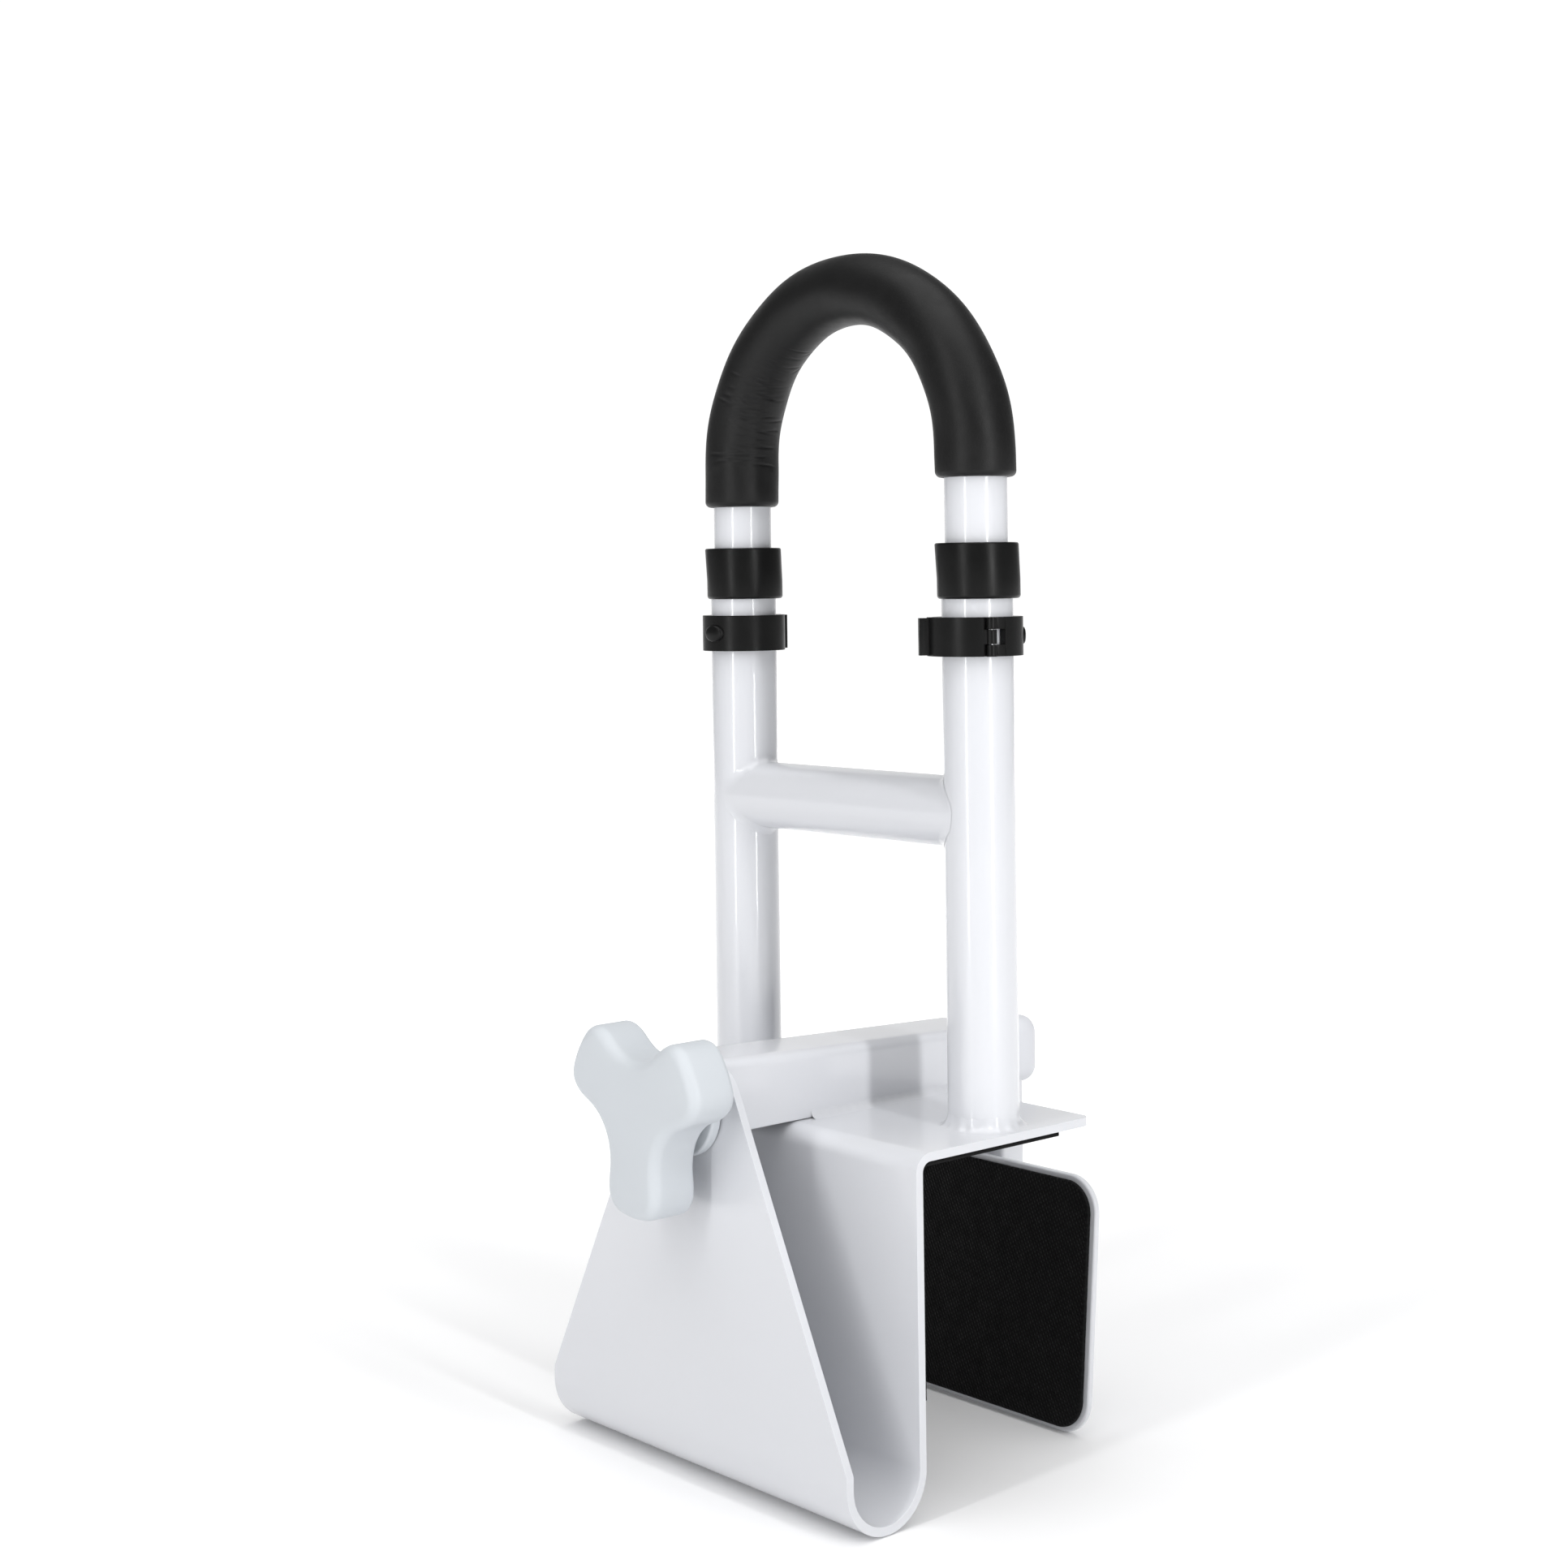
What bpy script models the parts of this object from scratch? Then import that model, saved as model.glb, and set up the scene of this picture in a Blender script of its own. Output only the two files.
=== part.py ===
"""Clamp-on bathtub safety rail: height-adjustable grab handle on a screw clamp.

Frame: +Z up, metres. The handle and both legs stand in the plane X = 0. The origin lies on the
underside of the rim pad, midway between the legs. +X points over the tub rim towards the clamp
jaw, -X towards the knob, and Y runs along the rim.
"""
import math

import bmesh
import bpy
from mathutils import Matrix, Vector

# ---------------------------------------------------------------- driving dimensions
GAP = 0.0003                     # clearance between touching pieces

SHEET = 0.0035                   # bracket steel
PAD = 0.0018                     # rim pad rubber
BRACKET_WIDTH = 0.1843           # along the rim
WALL_FACE_X = -0.0528            # tub side of the inner wall
PLATE_END_X = 0.0414             # free edge of the top plate
BRACKET_BOTTOM_Z = -0.1339       # lowest point of the U-bend
FOLD_OUTER_R = 0.0205            # U-bend, outside
PLATE_BEND_R = 0.0075            # plate to wall bend, outside
PANEL_TOP_Z = 0.0350
PANEL_TOP_HALF = 0.0215          # half width of the outer panel at its top
PANEL_LEAN = math.radians(0.85)  # outer panel leans in towards the wall
TAPER_START_Z = -0.1080          # the panel is full width below this height

LEG_SPACING = 0.1453
OUTER_R = 0.0143                 # 28.6 mm tube
INNER_R = 0.0126                 # 25.2 mm tube
TUBE_WALL = 0.0012
OUTER_TOP_Z = 0.2316
CROSSBAR_Z = 0.1297

ARCH_APEX_Z = 0.3456             # centre line of the handle tube
INNER_BOTTOM_Z = 0.0830
HANDLE_TRAVEL = 0.1016           # four steps of 25.4 mm
HOLE_STEP = 0.0254
HOLE_R = 0.0030
FOAM_END_NEAR_Z = 0.2640
FOAM_END_FAR_Z = 0.2560
FOAM_R = 0.0163
FOAM_APEX_R = 0.0150             # the foam is stretched thinner over the bend

COLLAR_LOW_Z = 0.2156
COLLAR_HIGH_Z = 0.2379
COLLAR_R = 0.0168

CLIP_LOW_Z = 0.1929
CLIP_HIGH_Z = 0.2084
CLIP_R = 0.0182
CLIP_GATE_R = 0.0203                  # the gate stands out further at its free end
CLIP_TAB_R = 0.0238
CLIP_HINGE_TURN = math.radians(104)   # hinge, measured round the tube from the thumb tab
CLIP_PIN_TURN = math.radians(192)     # lock pin, measured the same way
CLIP_EAR_TURN = math.radians(19)      # reach of the band's two ears
NEAR_TAB = math.radians(139)          # where the thumb tab points on the near leg
FAR_TAB = math.radians(353)           # and on the far leg

SCREW_Z = 0.0169
SCREW_R = 0.0060
HOUSING_HALF = 0.0160
HOUSING_WALL = 0.0018
HOUSING_TOP_KNOB_END = 0.0352
HOUSING_TOP_JAW_END = 0.0301
HOUSING_START_X = -0.0876
HOUSING_END_X = 0.0615

ARM_HALF_Y = 0.0120
ARM_HALF_Z = 0.0102
ARM_WALL = 0.0018
ARM_START_X = -0.0220
POST_X = 0.0726                  # rim side of the jaw post
POST_DEPTH = 0.0138
POST_BOTTOM_Z = -0.1180
CAP_HALF = 0.0145
CAP_Z = 0.0158
CAP_HEAD = 0.0082
CAP_SKIRT = 0.0064               # how far the cap reaches back over the slide arm

JAW_TOP_Z = -0.0277
JAW_HALF = 0.0729
JAW_FRONT_TOP_X = 0.0659
JAW_TOE_IN = math.radians(4.5)
JAW_SHEET = 0.0030
JAW_CORNER_R = 0.0150
JAW_PAD = 0.0020
JAW_PAD_INSET = 0.0022

KNOB_FRONT_X = -0.1225
KNOB_BACK_X = -0.1005            # back of the lobes
KNOB_HUB_END_X = -0.0974
KNOB_REACH = 0.0413
KNOB_LOBE_HALF = 0.0158
KNOB_TURN = 1.5                  # degrees the lowest lobe stands off straight down
FLANGE_R = 0.0205

TUBE_SIDES = 28


# ---------------------------------------------------------------- helpers
def clear_scene():
    """Remove everything that the start-up file brought along."""
    for item in list(bpy.data.objects):
        bpy.data.objects.remove(item, do_unlink=True)


def finish(name):
    """Return a Principled material for one of the finishes in use."""
    looks = {
        "white_steel": ((0.84, 0.85, 0.88), 0.30, 0.0),
        "black_foam": ((0.020, 0.020, 0.021), 0.60, 0.0),
        "black_plastic": ((0.016, 0.017, 0.017), 0.40, 0.0),
        "black_rubber": ((0.012, 0.012, 0.013), 0.75, 0.0),
        "knob_plastic": ((0.70, 0.74, 0.78), 0.38, 0.0),
        "white_plastic": ((0.82, 0.83, 0.86), 0.40, 0.0),
        "nylon": ((0.80, 0.79, 0.74), 0.50, 0.0),
        "zinc_steel": ((0.62, 0.63, 0.64), 0.35, 1.0),
    }
    colour, roughness, metallic = looks[name]
    material = bpy.data.materials.new(name)
    material.use_nodes = True
    shader = material.node_tree.nodes["Principled BSDF"]
    shader.inputs["Base Color"].default_value = (*colour, 1.0)
    shader.inputs["Roughness"].default_value = roughness
    shader.inputs["Metallic"].default_value = metallic
    return material


def add_object(name, bm, look, origin=(0.0, 0.0, 0.0), parent=None):
    """Turn a bmesh in world coordinates into an object whose origin is where it is asked for."""
    bmesh.ops.recalc_face_normals(bm, faces=bm.faces)
    mesh = bpy.data.meshes.new(name)
    place = Vector(origin)
    bm.transform(Matrix.Translation(-place))
    bm.to_mesh(mesh)
    bm.free()
    mesh.shade_smooth()
    mesh.set_sharp_from_angle(angle=math.radians(35))
    part = bpy.data.objects.new(name, mesh)
    bpy.context.scene.collection.objects.link(part)
    if look:
        mesh.materials.append(finish(look))
    if parent:
        part.parent = parent
        place = place - parent.location
    part.location = place
    return part


def add_axis(name, location):
    """Add an empty that marks a joint's axis and carries the pieces that move on it."""
    axis = bpy.data.objects.new(name, None)
    axis.empty_display_size = 0.02
    axis.location = location
    bpy.context.scene.collection.objects.link(axis)
    return axis


def cut(part, bm, name, operation="DIFFERENCE"):
    """Combine a shape with a part by a Boolean that stays on the part."""
    cutter = add_object(name, bm, None)
    cutter.hide_render = True
    cutter.display_type = "WIRE"
    step = part.modifiers.new(name, "BOOLEAN")
    step.operation = operation
    step.solver = "EXACT"
    step.object = cutter


def merge(part, bm, name):
    """Join a shape to a part with a Boolean that stays on the part."""
    cut(part, bm, name, "UNION")


def join_loops(bm, loops, closed):
    """Skin a row of equal vertex loops; a closed row also joins its last loop to its first."""
    pairs = list(zip(loops, loops[1:]))
    if closed:
        pairs.append((loops[-1], loops[0]))
    for low, high in pairs:
        for i in range(len(low)):
            j = (i + 1) % len(low)
            bm.faces.new((low[i], low[j], high[j], high[i]))


def extrude_outline(outline, low, high, axis):
    """Extrude a closed 2-D outline from low to high along X, Y or Z."""
    place = {
        "X": lambda a, b, c: (c, a, b),
        "Y": lambda a, b, c: (a, c, b),
        "Z": lambda a, b, c: (a, b, c),
    }[axis]
    bm = bmesh.new()
    ends = [[bm.verts.new(place(a, b, c)) for a, b in outline] for c in (low, high)]
    join_loops(bm, ends, closed=False)
    bm.faces.new(ends[0])
    bm.faces.new(ends[1])
    return bm


def turn_profile(profile, centre, axis="Z", sides=TUBE_SIDES):
    """Turn a closed (radius, height) profile that stays off its axis into a ring."""
    bm = bmesh.new()
    loops = []
    for i in range(sides):
        angle = 2 * math.pi * i / sides
        side, up = math.cos(angle), math.sin(angle)
        loop = []
        for radius, height in profile:
            if axis == "Z":
                offset = Vector((radius * side, radius * up, height))
            else:
                offset = Vector((height, radius * side, radius * up))
            loop.append(bm.verts.new(Vector(centre) + offset))
        loops.append(loop)
    join_loops(bm, loops, closed=True)
    return bm


def rod(radius, low, high, centre, axis="Z", sides=20, chamfer=0.0):
    """A solid round bar between two heights on its axis, with chamfered ends if asked."""
    bm = bmesh.new()
    stations = [(radius, low), (radius, high)]
    if chamfer:
        stations = [(radius - chamfer, low), (radius, low + chamfer),
                    (radius, high - chamfer), (radius - chamfer, high)]
    loops = []
    for ring_radius, height in stations:
        loop = []
        for i in range(sides):
            angle = 2 * math.pi * i / sides
            side, up = ring_radius * math.cos(angle), ring_radius * math.sin(angle)
            offset = {"X": (height, side, up), "Y": (side, height, up), "Z": (side, up, height)}[axis]
            loop.append(bm.verts.new(Vector(centre) + Vector(offset)))
        loops.append(loop)
    join_loops(bm, loops, closed=False)
    bm.faces.new(loops[0])
    bm.faces.new(loops[-1])
    return bm


def box(low, high):
    """A plain block between two corners."""
    outline = [(low[0], low[1]), (high[0], low[1]), (high[0], high[1]), (low[0], high[1])]
    return extrude_outline(outline, low[2], high[2], "Z")


def arc(centre, radius, start, end, steps):
    """Points on an arc, both ends included."""
    points = []
    for i in range(steps + 1):
        angle = start + (end - start) * i / steps
        points.append((centre[0] + radius * math.cos(angle), centre[1] + radius * math.sin(angle)))
    return points


def rounded_rectangle(half_a, half_b, radius, steps=4, centre=(0.0, 0.0)):
    """Outline of a rectangle with round corners, centred where it is asked for."""
    outline = []
    corners = ((1, 1, 0), (-1, 1, 90), (-1, -1, 180), (1, -1, 270))
    for sign_a, sign_b, start in corners:
        middle = (centre[0] + sign_a * (half_a - radius), centre[1] + sign_b * (half_b - radius))
        first = math.radians(start)
        outline += arc(middle, radius, first, first + math.pi / 2, steps)
    return outline


# ---------------------------------------------------------------- bracket
def sheet_stations(face_offset, plate_end, wall_low=None):
    """Centre line of the bent sheet from the plate's free edge, with its direction at each point.

    face_offset moves the line off the sheet's tub side: positive into the steel. With wall_low
    the line stops on the inner wall at that height, otherwise it goes round the fold and up
    the outer panel.
    """
    stations = []
    bend_r = PLATE_BEND_R - SHEET + face_offset
    bend_x = WALL_FACE_X - SHEET + PLATE_BEND_R
    plate_low = PAD + GAP
    bend_z = plate_low + SHEET - PLATE_BEND_R
    for x in plate_end:
        stations.append(((x, plate_low + face_offset), (0.0, 1.0)))
    for i in range(7):
        angle = math.pi / 2 + i * math.pi / 12
        out = (math.cos(angle), math.sin(angle))
        stations.append(((bend_x + bend_r * out[0], bend_z + bend_r * out[1]), out))
    if wall_low is not None:
        stations.append(((WALL_FACE_X - face_offset, wall_low), (-1.0, 0.0)))
        return stations
    fold_x = WALL_FACE_X - FOLD_OUTER_R
    fold_z = BRACKET_BOTTOM_Z + FOLD_OUTER_R
    fold_r = FOLD_OUTER_R - face_offset
    turns = 18
    for i in range(turns + 1):
        angle = -(math.pi + PANEL_LEAN) * i / turns
        out = (math.cos(angle), math.sin(angle))
        stations.append(((fold_x + fold_r * out[0], fold_z + fold_r * out[1]), (-out[0], -out[1])))
    foot, out = stations[-1]
    rise = Vector((math.sin(PANEL_LEAN), math.cos(PANEL_LEAN)))
    for z in panel_heights():
        reach = (z - foot[1]) / rise.y
        stations.append(((foot[0] + rise.x * reach, z), out))
    return stations


def panel_heights():
    """Heights of the outer panel's cross lines: taper start, sides, and the rounded top corners."""
    heights = [TAPER_START_Z]
    corner_r = 0.010
    for i in range(5):
        heights.append(PANEL_TOP_Z - corner_r * (1 - math.sin(math.pi / 2 * i / 4)))
    return heights


def bracket_half_width(x, z, on_panel):
    """Half width of the sheet at a place on its centre line."""
    half = BRACKET_WIDTH / 2
    corner_r = 0.004
    if not on_panel:
        past = x - (PLATE_END_X - corner_r)
        if past > 0:
            return half - corner_r + math.sqrt(max(corner_r ** 2 - past ** 2, 0.0))
        return half
    if z <= TAPER_START_Z:
        return half
    share = (z - TAPER_START_Z) / (PANEL_TOP_Z - TAPER_START_Z)
    half = half + (PANEL_TOP_HALF - half) * share
    corner_r = 0.010
    past = z - (PANEL_TOP_Z - corner_r)
    if past > 0:
        half -= corner_r - math.sqrt(max(corner_r ** 2 - past ** 2, 0.0))
    return half


def build_bracket_sheet():
    """One steel strip: top plate, inner wall, U-fold and tapered outer panel."""
    corner_r = 0.004
    plate_end = [PLATE_END_X - corner_r + corner_r * math.cos(math.pi / 2 * i / 4) for i in range(5)]
    tub_side = sheet_stations(0.0, plate_end)
    outside = sheet_stations(SHEET, plate_end)
    panel_count = len(panel_heights())
    bm = bmesh.new()
    rows = []
    for index, ((inner, _), (outer, _)) in enumerate(zip(tub_side, outside)):
        on_panel = index >= len(tub_side) - panel_count
        half = bracket_half_width(outer[0], outer[1], on_panel)
        corners = [(inner, -half), (inner, half), (outer, half), (outer, -half)]
        rows.append([bm.verts.new((p[0], y, p[1])) for p, y in corners])
    join_loops(bm, rows, closed=False)
    bm.faces.new(rows[0])
    bm.faces.new(rows[-1])
    sheet = add_object("bracket_sheet", bm, "white_steel")
    hole = rod(SCREW_R + 0.0005, -0.105, -0.080, (0, 0, SCREW_Z), "X", 24)
    cut(sheet, hole, "cutter_screw_hole")


def build_rim_pad():
    """Rubber lining of the clamp: plate underside, round the bend and down the wall."""
    bm = bmesh.new()
    rows = []
    ends = [PLATE_END_X - 0.0169]
    low = -0.0890
    back = sheet_stations(-GAP, ends, low)
    face = sheet_stations(-GAP - PAD, ends, low)
    half = BRACKET_WIDTH / 2 - 0.0015
    for (a, _), (b, _) in zip(back, face):
        corners = [(a, -half), (a, half), (b, half), (b, -half)]
        rows.append([bm.verts.new((p[0], y, p[1])) for p, y in corners])
    join_loops(bm, rows, closed=False)
    bm.faces.new(rows[0])
    bm.faces.new(rows[-1])
    add_object("rim_pad", bm, "black_rubber")


def build_housing():
    """Pressed channel over the screw, open below, a little lower at its jaw end."""
    low = PAD + 2 * GAP + SHEET
    corner_r = 0.0045
    bm = bmesh.new()
    ends = []
    for x, top in ((HOUSING_START_X, HOUSING_TOP_KNOB_END), (HOUSING_END_X, HOUSING_TOP_JAW_END)):
        outer = [(HOUSING_HALF, low)]
        outer += arc((HOUSING_HALF - corner_r, top - corner_r), corner_r, 0, math.pi / 2, 4)
        outer += arc((-HOUSING_HALF + corner_r, top - corner_r), corner_r, math.pi / 2, math.pi, 4)
        outer += [(-HOUSING_HALF, low)]
        inner_half = HOUSING_HALF - HOUSING_WALL
        inner_r = corner_r - HOUSING_WALL
        inner_top = top - HOUSING_WALL
        inner = [(-inner_half, low)]
        inner += arc((-inner_half + inner_r, inner_top - inner_r), inner_r, math.pi, math.pi / 2, 4)
        inner += arc((inner_half - inner_r, inner_top - inner_r), inner_r, math.pi / 2, 0, 4)
        inner += [(inner_half, low)]
        ends.append([bm.verts.new((x, y, z)) for y, z in outer + inner])
    join_loops(bm, ends, closed=False)
    bm.faces.new(ends[0])
    bm.faces.new(ends[1])
    add_object("screw_housing", bm, "white_steel")


# ---------------------------------------------------------------- legs
def pin_direction(side):
    """Angle round the leg at which its lock pin stands."""
    tab = NEAR_TAB if side < 0 else FAR_TAB
    return tab + CLIP_PIN_TURN


def pin_bore(side, z, reach):
    """Cutter for one lock-pin hole, from the leg's axis outwards."""
    bm = rod(HOLE_R, 0.0, reach, (0, 0, 0), "X", 12)
    turn = Matrix.Rotation(pin_direction(side), 4, "Z")
    bm.transform(Matrix.Translation((0, side * LEG_SPACING / 2, z)) @ turn)
    return bm


def build_legs():
    """Two outer tubes on the plate, the crossbar between them and the collars on their tops."""
    foot = PAD + 2 * GAP + SHEET
    clip_z = (CLIP_LOW_Z + CLIP_HIGH_Z) / 2
    for side, label in ((-1, "near"), (1, "far")):
        centre = (0, side * LEG_SPACING / 2, 0)
        bore = OUTER_R - TUBE_WALL
        wall = [(bore, foot), (OUTER_R, foot), (OUTER_R, OUTER_TOP_Z), (bore, OUTER_TOP_Z)]
        tube = add_object(f"outer_tube_{label}", turn_profile(wall, centre), "white_steel")
        cut(tube, pin_bore(side, clip_z, 0.020), f"cutter_outer_hole_{label}")
        step = OUTER_TOP_Z + GAP
        round_r = 0.0010
        collar = [(OUTER_R + GAP, COLLAR_LOW_Z), (COLLAR_R - round_r, COLLAR_LOW_Z),
                  (COLLAR_R, COLLAR_LOW_Z + round_r), (COLLAR_R, COLLAR_HIGH_Z - round_r),
                  (COLLAR_R - round_r, COLLAR_HIGH_Z), (INNER_R + GAP, COLLAR_HIGH_Z),
                  (INNER_R + GAP, step), (OUTER_R + GAP, step)]
        add_object(f"collar_{label}", turn_profile(collar, centre), "black_plastic")
    bore = OUTER_R - TUBE_WALL
    reach = LEG_SPACING / 2 - 0.0030
    wall = [(bore, -reach), (OUTER_R, -reach), (OUTER_R, reach), (bore, reach)]
    bm = turn_profile(wall, (0, 0, 0))
    bm.transform(Matrix.Translation((0, 0, CROSSBAR_Z)) @ Matrix.Rotation(math.pi / 2, 4, "X"))
    crossbar = add_object("crossbar", bm, "white_steel")
    for side, label in ((-1, "near"), (1, "far")):
        centre = (0, side * LEG_SPACING / 2, CROSSBAR_Z)
        saddle = rod(OUTER_R + GAP, -0.03, 0.03, centre, "Z", TUBE_SIDES)
        cut(crossbar, saddle, f"cutter_saddle_{label}")


# ---------------------------------------------------------------- handle
def handle_path(low_near, low_far):
    """Centre line of the inverted U from the near end to the far end, with its outward normal."""
    bend = LEG_SPACING / 2
    bend_z = ARCH_APEX_Z - bend
    path = [(-bend, low_near, -1.0, 0.0)]
    steps = 24
    for i in range(steps + 1):
        angle = math.pi - math.pi * i / steps
        out_y, out_z = math.cos(angle), math.sin(angle)
        path.append((bend * out_y, bend_z + bend * out_z, out_y, out_z))
    path.append((bend, low_far, 1.0, 0.0))
    return path


def sweep_pipe(path, outer_radius, inner_radius, sides=18):
    """Hollow pipe along a path in the YZ plane; outer_radius is a function of the share of rise."""
    bm = bmesh.new()
    top = max(point[3] for point in path)
    skins = []
    for is_outer in (True, False):
        loops = []
        for y, z, out_y, out_z in path:
            radius = outer_radius(out_z / top) if is_outer else inner_radius
            loop = []
            for i in range(sides):
                angle = 2 * math.pi * i / sides
                out = radius * math.cos(angle)
                place = (radius * math.sin(angle), y + out * out_y, z + out * out_z)
                loop.append(bm.verts.new(place))
            loops.append(loop)
        join_loops(bm, loops, closed=False)
        skins.append(loops)
    for end in (0, -1):
        join_loops(bm, [skins[0][end], skins[1][end]], closed=False)
    return bm


def build_handle():
    """The sliding inner tube, its foam grip and the glide plugs in its lower ends."""
    axis = add_axis("handle_slide_axis", (0, 0, OUTER_TOP_Z))
    origin = (0, 0, OUTER_TOP_Z)
    path = handle_path(INNER_BOTTOM_Z, INNER_BOTTOM_Z)
    bm = sweep_pipe(path, lambda rise: INNER_R, INNER_R - TUBE_WALL)
    tube = add_object("handle_tube", bm, "white_steel", origin, axis)
    clip_z = (CLIP_LOW_Z + CLIP_HIGH_Z) / 2
    steps = round(HANDLE_TRAVEL / HOLE_STEP) + 1
    for side, label in ((-1, "near"), (1, "far")):
        for step in range(steps):
            z = clip_z - step * HOLE_STEP
            cut(tube, pin_bore(side, z, 0.016), f"cutter_step_{label}_{step}")
    path = handle_path(FOAM_END_NEAR_Z, FOAM_END_FAR_Z)
    bm = sweep_pipe(path, lambda rise: FOAM_R + (FOAM_APEX_R - FOAM_R) * rise, INNER_R + GAP)
    add_object("foam_grip", bm, "black_foam", origin, axis)
    for side, label in ((-1, "near"), (1, "far")):
        centre = (0, side * LEG_SPACING / 2, 0)
        bore = INNER_R - TUBE_WALL - GAP
        lip = INNER_BOTTOM_Z - GAP
        plug = [(0.006, lip - 0.003), (INNER_R + 0.0001, lip - 0.003), (INNER_R + 0.0001, lip),
                (bore, lip), (bore, lip + 0.012), (0.006, lip + 0.012)]
        bm = turn_profile(plug, centre, sides=20)
        add_object(f"glide_plug_{label}", bm, "black_plastic", origin, axis)


# ---------------------------------------------------------------- lock clips
def ring_sector(inner, outer, start, end, low, high, steps, outer_end=None):
    """Part of a flat ring round the origin, whose outer radius may change along it."""
    outer_end = outer_end or outer
    outline = []
    for i in range(steps + 1):
        angle = start + (end - start) * i / steps
        radius = outer + (outer_end - outer) * i / steps
        outline.append((radius * math.cos(angle), radius * math.sin(angle)))
    outline += arc((0, 0), inner, end, start, steps)
    return extrude_outline(outline, low, high, "Z")


def build_clip(side, label, tab):
    """Wrap-around lock clip: fixed band with the lock pin, hinged gate and its hinge pin."""
    centre = Vector((0, side * LEG_SPACING / 2, 0))
    low, high = CLIP_LOW_Z, CLIP_HIGH_Z
    inner = OUTER_R + GAP
    hinge = CLIP_HINGE_TURN
    hinge_r = 0.0176
    barrel_r = 0.0021
    knuckle = 0.3 * (high - low)
    hinge_at = Vector((hinge_r * math.cos(hinge), hinge_r * math.sin(hinge), 0))
    place = Matrix.Translation(centre) @ Matrix.Rotation(tab, 4, "Z")
    hinge_world = place @ hinge_at + Vector((0, 0, (low + high) / 2))

    ears_end = hinge + CLIP_EAR_TURN
    band = ring_sector(inner, CLIP_R, ears_end, 2 * math.pi - 0.06, low, high, 26)
    band.transform(place)
    band_part = add_object(f"clip_band_{label}", band, "black_plastic")
    bore = rod(HOLE_R, 0.010, 0.022, (0, 0, 0), "X", 12)
    bore.transform(Matrix.Rotation(CLIP_PIN_TURN, 4, "Z"))
    bore.transform(place @ Matrix.Translation((0, 0, (low + high) / 2)))
    cut(band_part, bore, f"cutter_pin_seat_{label}")

    for level, part_low, part_high in (("upper", high - knuckle, high), ("lower", low, low + knuckle)):
        ear = turn_profile([(0.0010, part_low), (barrel_r, part_low), (barrel_r, part_high),
                            (0.0010, part_high)], hinge_at, sides=14)
        ear.transform(place)
        web = ring_sector(inner + 0.0002, CLIP_R - 0.0002, hinge + 0.06, ears_end + 0.05,
                          part_low, part_high, 3)
        web.transform(place)
        merge(band_part, web, f"cutter_web_{level}_{label}")
        merge(band_part, ear, f"cutter_ear_{level}_{label}")
    bore = rod(0.0010, low - 0.001, high + 0.001, hinge_at, "Z", 12)
    bore.transform(place)
    cut(band_part, bore, f"cutter_hinge_bore_{label}")

    axis = add_axis(f"clip_{label}_axis", hinge_world)
    gate = ring_sector(inner, CLIP_GATE_R, 0.03, hinge - 0.18, low, high, 14, CLIP_R)
    gate.transform(place)
    gate_part = add_object(f"clip_gate_{label}", gate, "black_plastic", hinge_world, axis)
    mid_low, mid_high = low + knuckle + GAP, high - knuckle - GAP
    ear = rod(barrel_r, mid_low, mid_high, hinge_at, "Z", 14)
    web = ring_sector(inner + 0.0002, CLIP_R - 0.0002, hinge - 0.22, hinge - 0.03, mid_low, mid_high, 4)
    tab_block = ring_sector(CLIP_R, CLIP_TAB_R, 0.034, 0.19, low + 0.0003, high - 0.0003, 2)
    for name, shape in (("ear", ear), ("web", web), ("tab", tab_block)):
        shape.transform(place)
        merge(gate_part, shape, f"cutter_gate_{name}_{label}")
    bore = rod(0.0011, low - 0.001, high + 0.001, hinge_at, "Z", 12)
    bore.transform(place)
    cut(gate_part, bore, f"cutter_gate_bore_{label}")

    pin = rod(0.0007, low + 0.0002, high - 0.0002, hinge_at, "Z", 12)
    pin.transform(place)
    add_object(f"clip_hinge_pin_{label}", pin, "zinc_steel", hinge_world)
    lock = rod(HOLE_R - GAP, OUTER_R - TUBE_WALL + 0.0001, CLIP_R + 0.0008, (0, 0, 0), "X", 12, 0.0004)
    lock.transform(Matrix.Rotation(CLIP_PIN_TURN, 4, "Z"))
    lock.transform(place @ Matrix.Translation((0, 0, (low + high) / 2)))
    add_object(f"lock_pin_{label}", lock, "zinc_steel")


# ---------------------------------------------------------------- screw and knob
def knob_outline():
    """Three-lobed outline round the screw axis: rounded lobe ends with hollow waists between."""
    outline = []
    half = KNOB_LOBE_HALF
    end_r = 0.009
    waist_r = 0.0215
    for lobe in range(3):
        direction = math.radians(KNOB_TURN - 90 + 120 * lobe)
        along = Vector((math.cos(direction), math.sin(direction)))
        across = Vector((-along.y, along.x))
        for sign in (-1, 1):
            middle = along * (KNOB_REACH - end_r) + across * sign * (half - end_r)
            first = direction + (-math.pi / 2 if sign < 0 else 0.0)
            outline += arc(middle, end_r, first, first + math.pi / 2, 4)
            if sign < 0:
                outline.append(tuple(along * (KNOB_REACH + 0.0007)))
        between = direction + math.radians(60)
        middle = Vector((math.cos(between), math.sin(between))) * 0.0420
        open_angle = math.radians(52)
        inward = between + math.pi
        outline += arc(middle, waist_r, inward + open_angle, inward - open_angle, 7)
    return outline


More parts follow.
